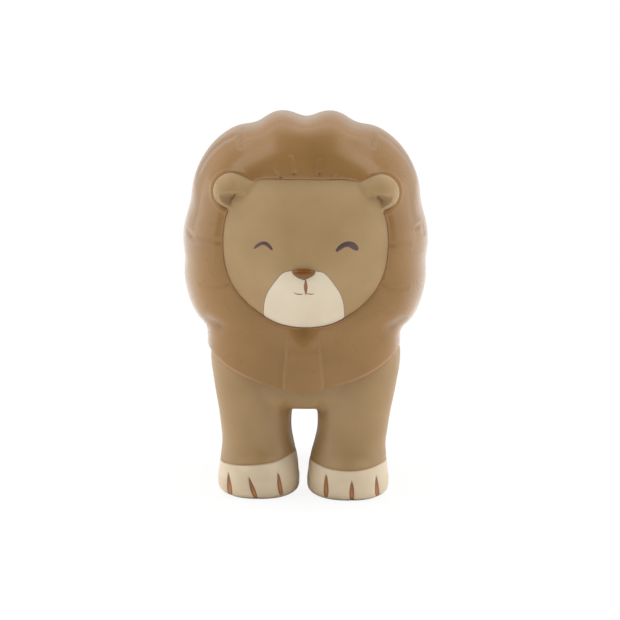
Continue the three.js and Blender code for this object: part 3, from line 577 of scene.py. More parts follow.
# %% Hem and torso
HEM_BOTTOM, HEM_SIDE, HEM_SHARE, TAB_RISE = 34.9, 46.5, 0.62, 1.1
HEM_TURN_Y, HEM_TURN_Z, HEM_CLIMB_FRONT, HEM_CLIMB_REAR = -20.25, 42.08, 0.87, 0.742
hem_walk = np.linspace(0.0, 1.0, 60)
hem_x = BIB_HALF_WIDTH * ((1 - hem_walk) ** 2 + 2 * HEM_SHARE * hem_walk * (1 - hem_walk))
hem_z = (HEM_SIDE * (1 - hem_walk) ** 2 + 2 * (HEM_BOTTOM + TAB_RISE) * hem_walk * (1 - hem_walk)
         + HEM_BOTTOM * hem_walk ** 2)
TORSO_FRONT, TORSO_REAR, TORSO_HALF, BELLY_Z, BACK_Z, TORSO_POWER = -29.0, 47.5, 28.0, 26.8, 73.0, 2.35
HALF_HEIGHT = (BACK_Z - BELLY_Z) / 2
# Share of the length, then shares of the half-width, of the lower and of the upper edge
torso_rows = np.array(
    [[0, 0, 0.25, 0.25], [0.01, 0.55, 0.07, 0.4], [0.045, 0.74, 0.01, 0.55], [0.12, 0.86, 0, 0.71],
     [0.21, 0.93, 0, 0.83], [0.33, 0.99, 0, 0.94], [0.47, 1, 0, 0.995], [0.61, 0.99, 0, 0.985],
     [0.75, 0.97, 0.02, 0.94], [0.87, 0.87, 0.08, 0.86], [0.95, 0.68, 0.2, 0.76], [0.988, 0.38, 0.34, 0.62],
     [1, 0, 0.48, 0.48]])


def hem_height(x, y):
    """The hem's height at a place: the front view's curve or the side view's climb, whichever is higher."""
    front = np.interp(np.abs(x), hem_x[::-1], hem_z[::-1])
    climb = HEM_TURN_Z + (y - HEM_TURN_Y) * np.where(y < HEM_TURN_Y, HEM_CLIMB_FRONT, HEM_CLIMB_REAR)
    return larger(front, climb, 1.5)


def depth_in_torso(points):
    """Roughly how many millimetres a place lies inside the torso, below 0 outside it."""
    along = np.clip((points[..., 1] - TORSO_FRONT) / (TORSO_REAR - TORSO_FRONT), 0.0, 1.0)
    wide, under, over = (np.interp(along, torso_rows[:, 0], torso_rows[:, i]) for i in (1, 2, 3))
    wide, half = np.maximum(TORSO_HALF * wide, 1e-3), np.maximum((over - under) * HALF_HEIGHT, 1e-3)
    up = np.abs(points[..., 2] - BELLY_Z - (under + over) * HALF_HEIGHT)
    value = (np.abs(points[..., 0]) / wide) ** TORSO_POWER + (up / half) ** TORSO_POWER
    return (1 - value ** (1 / TORSO_POWER)) * np.minimum(wide, half)


print("hem at the side:", HEM_SIDE, "mm, torso half-width:", TORSO_HALF, "mm")

# %% [markdown]
# ### The locks
# Shallow grooves part the locks. Four pairs run round the rim, and fine creases, pits and a parting line of
# the mould lie on the front. One flat lock hangs down the middle of the bib. Each is a small push along the
# skin's normal, by a bell or a step of the distance. The creases, pits and the hollow under the chin also get
# painted shade: the mane's colour is darkened in them.

# %% Grooves, creases and the middle lock
GROOVE_DEPTH, GROOVE_FADE, GROOVE_LOW, GROOVE_HIGH, HOOD_RIM = 1.9, 5.0, 56.0, 66.0, 36.0
FRONT_FROM, FRONT_TO = 12.0, 16.0
# Angle from the top, share of the depth, half-width in degrees
grooves = [[0, 1.4, 8], [25, 0.8, 7], [78, 0.5, 9], [104, 0.3, 6]]
# Creases in front view: half-width, depth (below 0 a raised fold), and the places x, z it runs through
creases = [
    (0.4, -0.24, [(-4.07, 106.5), (-3.3, 104.7), (-2.7, 102.6)]), (0.4, -0.24, [(-8.55, 102.9), (-6.9, 100.7)]),
    (0.4, -0.2, [(4.82, 105.6), (4.3, 104.0), (4.3, 101.9)]), (0.4, -0.15, [(9.5, 101.8), (8.3, 100.3)]),
    (0.5, 0.2, [(-21.7, 111.0), (-25.1, 109.1), (-28.6, 106.0), (-31.1, 102.4), (-32.8, 98.9)]),
    (0.5, 0.2, [(22.7, 111.8), (25.8, 109.9), (28.8, 107.1), (31.9, 103.6), (33.7, 100.3)]),
    (0.45, 0.15, [(-19.7, 113.2), (-19.5, 108.4)]), (0.45, 0.15, [(21.2, 112.8), (20.7, 108.9)]),
    (0.7, 0.13, [(-35.3, 81.5), (-33.2, 80.0), (-30.0, 80.2), (-25.6, 80.5)]),
    (0.6, 0.11, [(25.9, 80.3), (32.0, 79.6)]),
    (0.6, 0.12, [(-31.2, 66.4), (-28.1, 66.3), (-25.1, 66.8), (-22.8, 67.8)]),
    (0.6, 0.12, [(24.3, 68.0), (26.1, 66.6), (28.7, 66.0), (31.3, 66.3)]),
    (0.5, 0.16, [(34.2, 84.3), (36.0, 84.5), (36.8, 81.5)]),
    (1.4, 0.28, [(-29.0, 55.0), (-25.4, 53.6)]), (1.4, 0.28, [(30.0, 55.6), (27.0, 53.8)]),
]
RIDGE_SHARE, RIDGE_OFF = 0.35, 2.2
# x, z, half-width and depth of the mould's small pits
pits = [(-7.0, 100.1, 0.4, 0.35), (-3.0, 101.3, 0.42, 0.45), (4.6, 101.6, 0.42, 0.4)]
TAB_X, TAB_TOP, TAB_HALF_TOP, TAB_HALF_LOW, TAB_CORNER, TAB_PROUD = 0.3, 51.5, 4.95, 5.95, 1.3, 0.8
CHIN_Z, CHIN_WIDTH, CHIN_HEIGHT, CHIN_SHADE = 53.6, 2.0, 3.2, 0.45
EAR_X, EAR_Y, EAR_Z, EAR_WIDTH, EAR_DEPTH, EAR_HEIGHT = 21.9, -30.9, 95.55, 6.25, 4.8, 5.8
EAR_SEAT, EAR_MARGIN, EAR_RIDGE = 2.0, 0.4, 0.22


def distance_to_path(x, z, path):
    """The distance in front view to the nearest stroke between the places of a path, as complex numbers."""
    spot, knots, nearest = x + 1j * z, [complex(*place) for place in path], 1e3
    for start, end in zip(knots[:-1], knots[1:]):
        t = np.clip(((spot - start) / (end - start)).real, 0, 1)
        nearest = np.minimum(nearest, np.abs(spot - start - t * (end - start)))
    return nearest


def middle_lock(x, z):
    """1 on the lock in the middle of the bib, 0 beside it, with soft sides, a soft top and round corners."""
    half = TAB_HALF_TOP + (TAB_HALF_LOW - TAB_HALF_TOP) * ease(-z, -TAB_TOP, -HEM_BOTTOM)
    corner = TAB_CORNER * ease(-z, -37.5, -33.5) ** 2
    return ease(half - corner - np.abs(x - TAB_X), -0.6, 0.6) * ease(TAB_TOP - z, -3.0, 6.0)


def mane_push(points):
    """How far the skin is pushed in, in millimetres, and how much painted shade its creases and pits get."""
    x, y, z = np.moveaxis(points, -1, 0)
    share, angle = ring_share(x, z)
    rim = np.clip(np.where(y < WIDEST_Y, share, np.hypot(x, z - MANE_Z) / HOOD_RIM), 0, 1)
    groove = sum(deep * bell(angle - at, width) for at, deep, width in grooves)
    push = groove * GROOVE_DEPTH * rim ** GROOVE_FADE * ease(z, GROOVE_LOW, GROOVE_HIGH)
    dark = np.zeros(np.shape(x))
    facing = ease(-y, FRONT_FROM, FRONT_TO)
    for width, depth, path in creases:
        distance = distance_to_path(x, z, path)
        crease_with_painted_shade, ridge = bell(distance, width), bell(distance - RIDGE_OFF * width, width)
        push = push + facing * depth * (crease_with_painted_shade - RIDGE_SHARE * ridge)
        dark = np.maximum(dark, facing * min(1.0, depth) * crease_with_painted_shade)
    for pit_x, pit_z, width, depth in pits:
        pit = bell(np.hypot(x - pit_x, z - pit_z), width) * facing
        push, dark = push + depth * pit, np.maximum(dark, pit)
    # A hollow under the chin over the lock, with painted shade, and a seat with a thin ridge round it per ear
    chin = bell(x - TAB_X, CHIN_WIDTH + 0.25 * np.clip(z - 49.0, 0, 8)) * bell(z - CHIN_Z, CHIN_HEIGHT) * facing
    push = push + chin - TAB_PROUD * middle_lock(x, z) * facing
    ear = np.hypot((np.abs(x - FACE_X) - EAR_X) / (EAR_WIDTH - EAR_MARGIN), (z - EAR_Z) / (EAR_HEIGHT - EAR_MARGIN))
    seat = EAR_SEAT * np.sqrt(np.clip(1 - ear ** 2, 0, 1)) - EAR_RIDGE * bell(ear - 1.18, 0.07)
    return push + seat * (y < 0), np.maximum(dark, CHIN_SHADE * chin)


print(len(creases), "creases,", len(pits), "pits")

# %% [markdown]
# ### The mane's grid
# The columns of the grid run from the middle of the face, round the head, to the middle of the opening for
# the body. A flat map of all directions makes that easy: stereographic projection puts the opening's middle at
# infinity, and straight spokes out of the face's middle are the columns. Each is kept from lip to hem.

# %% Spokes from the face to the hem
MANE_COLUMNS, MANE_ROWS, LIP_ROUND, SKIN_WALL, SEAT_GAP = 480, 210, 0.3, 2.2, 0.02
LIP_DIP, LIP_DIP_LENGTH, HEM_DIP, DIP_INTO_TORSO, FASTEST_WAVE = 0.2, 1.0, 0.88, 0.8, 90.0
to_opening, to_face = np.array([0.0, 0.2, -0.98]), np.array([0.0, -0.96, 0.28])
to_opening, to_face = to_opening / np.linalg.norm(to_opening), to_face / np.linalg.norm(to_face)
map_x, map_up = np.array([1.0, 0.0, 0.0]), -to_opening
map_y = np.cross(map_up, map_x)
face_on_map = (to_face @ map_x + 1j * (to_face @ map_y)) / (1 + to_face @ map_up)


def way_of(spot):
    """A spot on the flat map, a complex number, to its direction: the inverse projection."""
    size = np.abs(spot) ** 2
    flat, lift = 2 * spot / (1 + size), (1 - size) / (1 + size)
    return flat.real[..., None] * map_x + flat.imag[..., None] * map_y + lift[..., None] * map_up


def first_above(values, start):
    """For each column, the row at which the values first pass 0, counted in parts of a row."""
    rows = np.arange(len(values))[:, None]
    at = np.argmax((values > 0) & (rows > start), axis=0)
    one = np.arange(values.shape[1])
    before, after = values[at - 1, one], values[at, one]
    return at - 1 + np.clip(-before / np.where(after == before, 1, after - before), 0, 1)


spokes = np.exp(1j * around(MANE_COLUMNS)[0])
trial = np.geomspace(0.08, 45.0, 300)
walked, lead = mane_place(way_of(face_on_map + trial[:, None] * spokes))
lip_row = first_above(out_of_face(walked[..., 0], walked[..., 2]) - 1 - SEAT_GAP / FACE_RADIUS, 0)
lock_dip = HEM_DIP * bell(walked[..., 0] - TAB_X, 5.2)
below_hem = np.where(lead < 0.5, hem_height(walked[..., 0], walked[..., 1]) - lock_dip - walked[..., 2], -1.0)
hem_row = first_above(np.maximum(below_hem, depth_in_torso(walked) - DIP_INTO_TORSO), lip_row + 3)
# The hem is smoothed all the way round by fading its fastest waves
pace = np.fft.fftfreq(MANE_COLUMNS, 1 / MANE_COLUMNS)
hem_row = np.fft.ifft(np.fft.fft(hem_row) * bell(pace, FASTEST_WAVE)).real
for name, row in (("lip", lip_row), ("hem", hem_row)):
    print(name, "at trial rows", row.min().round(1), "to", row.max().round(1))

# %% [markdown]
# The rows are spaced by length, closer near the face. The skin is pushed in at the grooves and rounded at lip
# and hem. A second, coarser layer lies one wall thickness inside, so the piece is a closed shell.


# %% Rows along each spoke
def spaced_rows(walked, lip_row, hem_row):
    """Spots on the map, so that the rows of each column are spaced by length between lip and hem."""
    steps = np.linalg.norm(np.diff(walked, axis=0), axis=-1)
    length = np.vstack([np.zeros(walked.shape[1]), np.cumsum(steps, axis=0)])
    index = np.arange(len(trial))
    rim = np.array([0, 0.05, 0.12, 0.21, 0.32, 0.44, 0.6, 0.8])
    inner = np.linspace(0, 1, MANE_ROWS - 2 * len(rim) + 2)
    spots, from_lip, to_hem = [], [], []
    for column in range(walked.shape[1]):
        start, end = (np.interp(row[column], index, length[:, column]) for row in (lip_row, hem_row))
        span = end - start
        even = np.clip(1 - span / 190.0, 0.4, 1.0)
        between = rim[-1] + (span - 2 * rim[-1]) * (even * inner + (1 - even) * inner ** 2)
        along = np.concatenate([rim[:-1], between, span - rim[::-1][1:]])
        logs = np.interp(start + along, length[:, column], np.log(trial))
        spots.append(face_on_map + np.exp(logs) * spokes[column])
        from_lip.append(along)
        to_hem.append(span - along)
    return np.array(spots).T, np.array(from_lip).T, np.array(to_hem).T


def grid_normals(points):
    """Normals of a grid that closes round its columns, from the steps to the neighbours on each side."""
    around_it = np.roll(points, -1, axis=1) - np.roll(points, 1, axis=1)
    normal = np.cross(around_it, np.gradient(points, axis=0))
    normal /= np.linalg.norm(normal, axis=-1, keepdims=True) + 1e-12
    return normal * np.sign(np.sum(normal * (points - RAY_START), axis=-1, keepdims=True))


spots, from_lip, to_hem = spaced_rows(walked, lip_row, hem_row)
skin = mane_place(way_of(spots))[0]
print("mane grid", skin.shape, "from z", skin[..., 2].min().round(1), "to", skin[..., 2].max().round(1))

# %% Push, round and close the mane
normals = grid_normals(skin)
push, dark = mane_push(skin)
push = push + LIP_DIP * np.clip(1 - from_lip / LIP_DIP_LENGTH, 0, 1) ** 2
edge = np.minimum(from_lip, to_hem)
sunk = LIP_ROUND - np.sqrt(np.maximum(0.0, LIP_ROUND ** 2 - np.maximum(0.0, LIP_ROUND - edge) ** 2))
skin = skin - normals * push[..., None]
inside_rows = np.unique(np.linspace(0, MANE_ROWS - 1, 34).astype(int))
inner = skin[inside_rows] - normals[inside_rows] * SKIN_WALL
closed = np.concatenate([skin - normals * sunk[..., None], inner[::-1]])
# Painted highlight on the lip round the face and on the hem's sides; the creases carry painted shade.
hem_light = 1.2 * bell(to_hem, 0.6) * ease(np.abs(skin[..., 0]), 6.0, 24.0) * (skin[..., 1] < 0)
marks = {"lip": bell(from_lip, 0.4) + hem_light, "crease_with_painted_shade": dark}
mane_piece = make(
    "mane_moulding", closed, grid_faces(*closed.shape[:2], rows_close=True),
    {name: np.concatenate([values, np.zeros(inner.shape[:2])]) for name, values in marks.items()})
dress(mane_piece, "mane_brown", mane_vinyl, "mane_front", "mane_rear", sharp=60)

# %% [markdown]
# ## Melting forms together
# The legs run into the torso and the ears into the head, with soft hollows between them. The forms are made
# as closed grids, a Remesh modifier lays one skin round all of them, and a Smooth modifier turns the sharp
# valleys into fillets.


# %% Remesh helper
def with_modifiers(piece):
    """The mesh that a piece's modifiers make."""
    return bpy.data.meshes.new_from_object(piece.evaluated_get(bpy.context.evaluated_depsgraph_get()))


def melted(name, forms, voxel_mm, rounds):
    """One skin round several closed forms, each either the corners of a grid or (corners, faces)."""
    points, faces = [], []
    for form in forms:
        corners, rows = form if isinstance(form, tuple) else (form, grid_faces(*form.shape[:2]))
        faces += [[corner + len(points) for corner in face] for face in rows]
        points += corners.reshape(-1, 3).tolist()
    piece = make(name, np.array(points), faces)
    remesh = piece.modifiers.new("skin", "REMESH")
    remesh.mode, remesh.voxel_size = "VOXEL", voxel_mm * 0.001
    smooth = piece.modifiers.new("fillets", "SMOOTH")
    smooth.factor, smooth.iterations = 0.5, rounds
    mesh = with_modifiers(piece)
    piece.modifiers.clear()
    piece.data = mesh
    mesh.shade_smooth()
    return piece, corners_mm(mesh)


# %% [markdown]
# ## Legs and paws
# A leg and its paw are one column of rounded sections, and smooth curves run through a table of them. The
# pale paw is the lower end, a cup whose upper edge is the painted line, and the leg stands in it.

# %% The column of a leg
LEG_POWER, LINE_Z, PAW_WIDEST, PAW_FORWARD, SOLE_DRAW, SOLE_POWER = 2.15, 10.2, 5.2, 1.6, 0.24, 4.5
# Height, shares of the paw's half-width and half-length, share of its step forward
paw_rows = [(5.2, 1, 1, 1), (7.8, 0.975, 0.965, 0.95), (10.19, 0.955, 0.91, 0.7)]
# Share of the height, share of the way from paw to thigh, then shares of the radius: half-width,
# half-length and step back; last, how much of the thigh's swelling counts
leg_rows = [
    (0.217, 0.1, 1.03, 1.03, -0.02, 0), (0.267, 0.3, 0.985, 0.99, 0, 0), (0.345, 0.8, 0.97, 0.985, 0, 0.1),
    (0.43, 1.02, 1.005, 1.01, 0.02, 0.3), (0.515, 1.25, 1.063, 1.05, 0.05, 0.6),
    (0.6, 1.45, 1.117, 1.08, 0.08, 0.9), (0.685, 1.57, 1.17, 1.1, 0.12, 1), (0.77, 1.57, 1.16, 1.07, 0.15, 1),
    (0.85, 1.3, 1.05, 0.96, 0.15, 0.9), (0.93, 0.6, 0.78, 0.72, 0.15, 0.7), (1, 0, 0.3, 0.3, 0.15, 0.2)]
front = dict(radius=11.25, top=60.0, wide=12.6, long=13.8, thigh=0.0)
hind = dict(radius=10.1, top=62.0, wide=10.5, long=11.8, thigh=0.16, x=15.5, y=32.0, paw_x=15.4,
            line=[(-12, 0.0), (12, 0.0)])
legs = {
    "front_left": dict(front, side=1, x=15.7, y=-17.95, paw_x=14.1,
                       line=[(-12, 0.9), (-6, -0.15), (0, -0.55), (6, -0.15), (12, 0.9)]),
    "front_right": dict(front, side=-1, x=14.7, y=-17.25, paw_x=13.5,
                        line=[(-13, 0.1), (-6, 0.35), (0, 0.8), (6, 1.6), (12, 3.1)]),
    "hind_left": dict(hind, side=1),
    "hind_right": dict(hind, side=-1),
}


def leg_section(leg, z):
    """A leg's middle x and y, half-width and half-length at a height; the sole's edge draws in."""
    rows = [(height, leg["paw_x"], leg["y"] - PAW_FORWARD * forward, leg["wide"] * wide, leg["long"] * long)
            for height, wide, long, forward in paw_rows]
    radius = leg["radius"]
    rows += [(up * leg["top"], leg["paw_x"] + out * (leg["x"] - leg["paw_x"]), leg["y"] + back * radius,
              wide * radius * (1 + thigh * leg["thigh"] / 4), long * radius * (1 + thigh * leg["thigh"]))
             for up, out, wide, long, back, thigh in leg_rows]
    mid_x, mid_y, wide, long = (curve([(row[0], row[i]) for row in rows])(z) for i in (1, 2, 3, 4))
    sole = 1 - SOLE_DRAW * np.clip(1 - z / PAW_WIDEST, 0, 1) ** SOLE_POWER
    return mid_x, mid_y, wide * sole, long * sole


def leg_place(leg, turn, z, grow=0.0):
    """A place on a leg's skin, or so many millimetres outside it."""
    mid_x, mid_y, wide, long = leg_section(leg, z)
    across, along = boxy(turn, LEG_POWER)
    return grid(leg["side"] * (mid_x + across * (wide + grow)), mid_y + along * (long + grow), z)


def line_height(leg, x):
    """The height of the painted line round a paw, which the front paws wear a little askew."""
    return LINE_Z + curve(leg["line"])(x - leg["side"] * leg["paw_x"])


print("legs:", list(legs))

# %% [markdown]
# ### Claws
# Three claws are pressed into the front of each paw and painted: a slim groove, pointed at its top, and a thin
# film of paint in it. The paws were drawn by hand, so no two claws are alike.

# %% Claw strokes
# Front view: x and z of the claw's top, x and z of its lower end, half-width
claws = {
    "front_right": [(-22.6, 8.2, -21.9, 0.25, 0.78), (-16.3, 7.9, -13.8, 0.3, 0.76), (-7.35, 9.1, -6.2, 1.2, 0.68)],
    "front_left": [(7.55, 8.9, 7.5, 0.9, 0.74), (15.35, 7.5, 15.5, 0.2, 0.72), (22.8, 7.9, 23.4, 0.5, 0.62)],
    "hind_left": [(10.0, 8.3, 9.6, 1.4, 0.7), (16.2, 8.2, 16.4, 1.0, 0.72), (22.3, 8.0, 22.8, 1.4, 0.66)],
}
claws["hind_right"] = [(-claw[0], claw[1], -claw[2], *claw[3:]) for claw in claws["hind_left"]]
CLAW_DEPTH = 0.42
claw_width = curve([(0, 0.04), (0.2, 0.5), (0.5, 0.95), (0.75, 1.0), (1, 0.72)])


def claw_groove(x, z, claw):
    """How deep the paw is pressed in along a claw: a bell across it, as wide as the claw there."""
    top_x, top_z, low_x, low_z, half = claw
    t = np.clip((top_z - z) / (top_z - low_z), -0.05, 1.1)
    fade = ease(t, -0.05, 0.12) * ease(-t, -1.1, -1.0)
    return CLAW_DEPTH * fade * bell(x - top_x - t * (low_x - top_x), half * claw_width(np.clip(t, 0, 1)) + 0.12)


def paw_front_y(leg, x, z):
    """Where the front of a paw's skin lies behind a place in front view."""
    mid_x, mid_y, wide, long = leg_section(leg, z)
    share = np.clip(np.abs(x * leg["side"] - mid_x) / wide, 0, 0.999)
    return mid_y - long * (1 - share ** LEG_POWER) ** (1 / LEG_POWER)


print("claws:", sum(len(row) for row in claws.values()))

# %% [markdown]
# ### The paws
# A paw's grid runs from the middle of the sole, up the outside to the painted line, over the cup's thin
# edge and down inside to its floor.

# %% Paw pieces
PAW_TURNS, WALL_OF_CUP, CUP_FLOOR, RIM_ROUND, EDGE_SHARE = 240, 0.45, 4.0, 0.12, 0.22


def paw_grid(name):
    """Corners of a paw: (row, turn), from the sole's middle over the outside to the cup's floor."""
    leg, turn = legs[name], around(PAW_TURNS)
    up = np.concatenate([np.linspace(0, 1, 22)[:-1] ** 2 * EDGE_SHARE, np.linspace(EDGE_SHARE, 1, 46)])[:, None]
    top = line_height(leg, leg_place(leg, turn, np.full_like(turn, LINE_Z))[..., 0]) - 0.04
    outside = leg_place(leg, turn, up * top)
    for claw in claws[name]:
        ahead = outside[..., 1] < leg["y"] - 2
        outside[..., 1] += np.where(ahead, claw_groove(outside[..., 0], outside[..., 2], claw), 0)
    rim = [leg_place(leg, turn, top - RIM_ROUND * 0.3, -RIM_ROUND * 0.3), leg_place(leg, turn, top, -RIM_ROUND)]
    outside[-1, :, 2] -= RIM_ROUND
    inside = leg_place(leg, turn, np.linspace(1, 0, 8)[:, None] * (top - CUP_FLOOR) + CUP_FLOOR, -WALL_OF_CUP)
    middle = np.array([leg["side"] * leg["paw_x"], leg["y"] - PAW_FORWARD, 0.0])
    sole = middle + (outside[:1] - middle) * np.linspace(0, 1, 12)[:-1, None, None]
    floor_middle = middle + np.array([0, 0, CUP_FLOOR])
    cup_floor = floor_middle + (inside[-1:] - floor_middle) * np.linspace(1, 0, 5)[1:, None, None]
    rows = np.concatenate([sole, outside, *rim, inside, cup_floor])
    edge = np.zeros(rows.shape[:2])
    start, end = len(sole), len(sole) + len(outside)
    edge[start:end], edge[end:end + 2] = bell(top - outside[..., 2], 0.2), 1.0
    return rows, edge


for name in legs:
    rows, edge = paw_grid(name)
    dress(make(f"paw_{name}_cup", rows, marks={"paint_line": edge}), "paw_cream", paw_paint,
          f"paw_{name}", sharp=50)

# %% Claw paint
CLAW_FILM, CLAW_SINK = 0.05, 0.25
claw_walk = np.linspace(0.0, 1.0, 40)[:, None]
claw_side = np.concatenate([np.linspace(-1, 1, 11), np.linspace(1, -1, 11)[1:-1]])[None, :]
under = np.concatenate([np.zeros(11), np.ones(9)])[None, :]
centre = bell(claw_side, 0.42) * ease(claw_walk, 0.25, 0.7)
centre = np.vstack([centre[:1], centre, centre[-1:]]).ravel()
for name, rows in claws.items():
    films, faces = [], []
    for claw in rows:
        top_x, top_z, low_x, low_z, half = claw
        width = half * claw_width(claw_walk) * np.where((claw_walk == 0) | (claw_walk == 1), 0.02, 1.0)
        z = top_z + claw_walk * (low_z - top_z) + 0 * claw_side
        x = top_x + claw_walk * (low_x - top_x) + claw_side * width
        y = paw_front_y(legs[name], x, z) + claw_groove(x, z, claw) - CLAW_FILM + under * CLAW_SINK
        film = close_ends(grid(x, y, z))
        faces.append(grid_faces(*film.shape[:2]) + centre.size * len(films))
        films.append(film)
    film_piece = make(f"claw_paint_{name}", np.concatenate(films), np.concatenate(faces),
                             {"middle": np.tile(centre, len(rows))}, merge_mm=0.002)
    dress(film_piece, "nose_brown", claw_paint)

# %% [markdown]
# ## The body
# The torso is a row of rounded sections from chest to rump. The legs stand in their paws and run up into it.
# Melted together they get the soft hollows of the moulding.


# %% Torso and legs
def torso_grid():
    """Corners of the torso: rounded sections at shares of its length, closed to a point at both ends."""
    along = (1 - np.cos(np.linspace(0, np.pi, 90))) / 2
    along = np.unique(np.concatenate([along, np.linspace(0, 0.05, 12), np.linspace(0.95, 1, 14)]))[:, None]
    wide, under, over = (curve(torso_rows[:, [0, i]])(along) for i in (1, 2, 3))
    across, up = boxy(around(140), TORSO_POWER)
    return grid(across * TORSO_HALF * np.maximum(wide, 0), TORSO_FRONT + along * (TORSO_REAR - TORSO_FRONT),
                BELLY_Z + (under + over + up * np.maximum(over - under, 0)) * HALF_HEIGHT)


def leg_grid(leg):
    """Corners of a leg from inside its paw to the shoulder; below the painted line it is a little thinner."""
    turn, z = around(110), np.linspace(CUP_FLOOR + 0.3, leg["top"], 130)[:, None]
    surface = leg_place(leg, turn, z)
    above = surface[..., 2] - line_height(leg, surface[..., 0])
    return close_ends(leg_place(leg, turn, z, -LEG_IN_PAW * (1 - ease(above, -0.75, -0.1))))


BODY_VOXEL, BODY_ROUNDS, LEG_IN_PAW = 0.62, 14, 0.62
body_piece, at = melted("body_moulding", [torso_grid()] + [leg_grid(leg) for leg in legs.values()],
                        BODY_VOXEL, BODY_ROUNDS)

# %% [markdown]
# The low end of the chest is pressed back a little between the legs, and a darker line shows where the
# paint of each paw ends.

# %% Chest and painted lines
CHEST_PUSH, CORNER_PUSH = 1.8, 1.1
beside = np.abs(at[:, 0] - TAB_X)
chest = ease(-at[:, 1], 20.0, 24.0) * ease(at[:, 2], 24.0, 27.0) * ease(-at[:, 2], -37.0, -33.0)
corners_low = ease(-at[:, 2], -32.5, -28.0)
at[:, 1] += chest * (CHEST_PUSH * ease(-beside, -8.0, -1.5) + CORNER_PUSH * corners_low * bell(beside - 5.0, 1.2))
body_piece.data.vertices.foreach_set("co", to_metres(at).astype(np.float32).ravel())
near_line = np.zeros(len(at))
for leg in legs.values():
    close = (np.abs(at[:, 0] - leg["side"] * leg["x"]) < 15) & (np.abs(at[:, 1] - leg["y"]) < 20)
    near_line = np.maximum(near_line, close * bell(at[:, 2] - line_height(leg, at[:, 0]), 0.3))
mark_corners(body_piece.data, {"paint_line": near_line})
dress(body_piece, "body_tan", body_vinyl, "body")

# %% [markdown]
# ## The head
# The head is the dome of the face in front and a rounded skull behind. The ears are folded flaps, fat and
# round on top, with a small bowl that opens forwards and downwards. The bowls are cut out of them, and then
# the ears melt into the head behind the dome's edge.

# %% Dome, skull and ears
RIM_SWELL, SKULL_POWER = 0.2, 2.5
EAR_TIP, EAR_TIP_TURN, EAR_TIP_BACK = 0.9, 31.0, 1.7
# The bowl of an ear: an ellipsoid, flatter on top and longer towards the face
BOWL_X, BOWL_Y, BOWL_Z, BOWL_HALVES, BOWL_TOP, BOWL_INWARD = 21.4, -35.8, 94.6, (5.2, 4.5, 3.9), 0.22, 1.5


def skull_grid():
    """Corners of the head: rings from the face's middle to its edge, and back to the skull's middle."""
    turn = around(260)
    radius = FACE_RADIUS * face_share(np.degrees(np.abs((turn + np.pi) % (2 * np.pi) - np.pi))) + RIM_SWELL
    share = np.sin(np.linspace(0, np.pi / 2, 70))[:, None]
    x, z = FACE_X + share * radius * np.sin(turn), HEAD_Z + share * radius * np.cos(turn)
    way = np.linspace(0, np.pi / 2, 30)[1:, None]
    share = np.cos(way) ** (2 / SKULL_POWER)
    share[-1] = 0.0
    back = grid(FACE_X + share * radius * np.sin(turn), EDGE_Y + SKULL_DEPTH * np.sin(way) ** (2 / SKULL_POWER),
                HEAD_Z + share * radius * np.cos(turn))
    return np.concatenate([grid(x, face_y(x, z), z), back])


def ball(middle, halves):
    """Corners of an ellipsoid."""
    turn, rise = around(60), np.linspace(-np.pi / 2, np.pi / 2, 40)[:, None]
    return np.array(middle) + np.array(halves) * grid(
        np.cos(rise) * np.cos(turn), np.cos(rise) * np.sin(turn), np.sin(rise))


def ear_form(side):
    """An ear: balls between a large one outside and a small one on the face's outline, the bowl cut out."""
    tip_turn = math.radians(EAR_TIP_TURN)
    reach = FACE_RADIUS * float(face_share(EAR_TIP_TURN)) - EAR_TIP
    tip = (FACE_X + side * reach * math.sin(tip_turn), EDGE_Y + EAR_TIP_BACK, HEAD_Z + reach * math.cos(tip_turn))
    large = ball((FACE_X + side * EAR_X, EAR_Y, EAR_Z), (EAR_WIDTH, EAR_DEPTH, EAR_HEIGHT))
    whole = make("ear_form", np.concatenate([large, ball(tip, [EAR_TIP] * 3)]), [])
    hull = bmesh.new()
    hull.from_mesh(whole.data)
    made = bmesh.ops.convex_hull(hull, input=hull.verts)
    spare = {part for key in ("geom_interior", "geom_unused") for part in made[key]}
    bmesh.ops.delete(hull, geom=[part for part in spare if isinstance(part, bmesh.types.BMVert)], context="VERTS")
    hull.to_mesh(whole.data)
    hull.free()
    middle = np.array([FACE_X + side * BOWL_X, BOWL_Y, BOWL_Z])
    away = ball(middle, BOWL_HALVES) - middle
    away[..., 0] *= np.where(away[..., 0] * side < 0, BOWL_INWARD, 1.0)
    away[..., 2] *= np.where(away[..., 2] > 0, BOWL_TOP, 1.0)
    bowl = make("ear_bowl", middle + away)
    cut = whole.modifiers.new("bowl", "BOOLEAN")
    cut.operation, cut.object, cut.solver = "DIFFERENCE", bowl, "EXACT"
    mesh = with_modifiers(whole)
    bpy.data.objects.remove(whole)
    bpy.data.objects.remove(bowl)
    return corners_mm(mesh), [list(face.vertices) for face in mesh.polygons]


HEAD_VOXEL, HEAD_ROUNDS = 0.34, 12
head_piece, at = melted("head_moulding", [skull_grid(), ear_form(-1), ear_form(1)], HEAD_VOXEL, HEAD_ROUNDS)

# %% [markdown]
# The ear bowls get painted light, a lighter tint in their shade. Each corner is marked by how deep it
# lies in one.

# %% Mark the bowls
deep = np.zeros(len(at))
for side in (-1, 1):
    inward, up = side * (at[:, 0] - FACE_X) - BOWL_X, at[:, 2] - BOWL_Z
    away = np.sqrt((inward / np.where(inward < 0, BOWL_INWARD, 1.0) / BOWL_HALVES[0]) ** 2
                   + ((at[:, 1] - BOWL_Y) / BOWL_HALVES[1]) ** 2
                   + (up / np.where(up > 0, BOWL_TOP, 1.0) / BOWL_HALVES[2]) ** 2)
    outside_face = ease(out_of_face(at[:, 0], at[:, 2]), 1.0, 1.03)
    deep = np.maximum(deep, ease(1.12 - away, -0.05, 0.15) * outside_face * ease(inward, -3.8, -2.2))
mark_corners(head_piece.data, {"painted_hollow_light_and_shade": deep})
dress(head_piece, "head_tan", head_vinyl, "head")

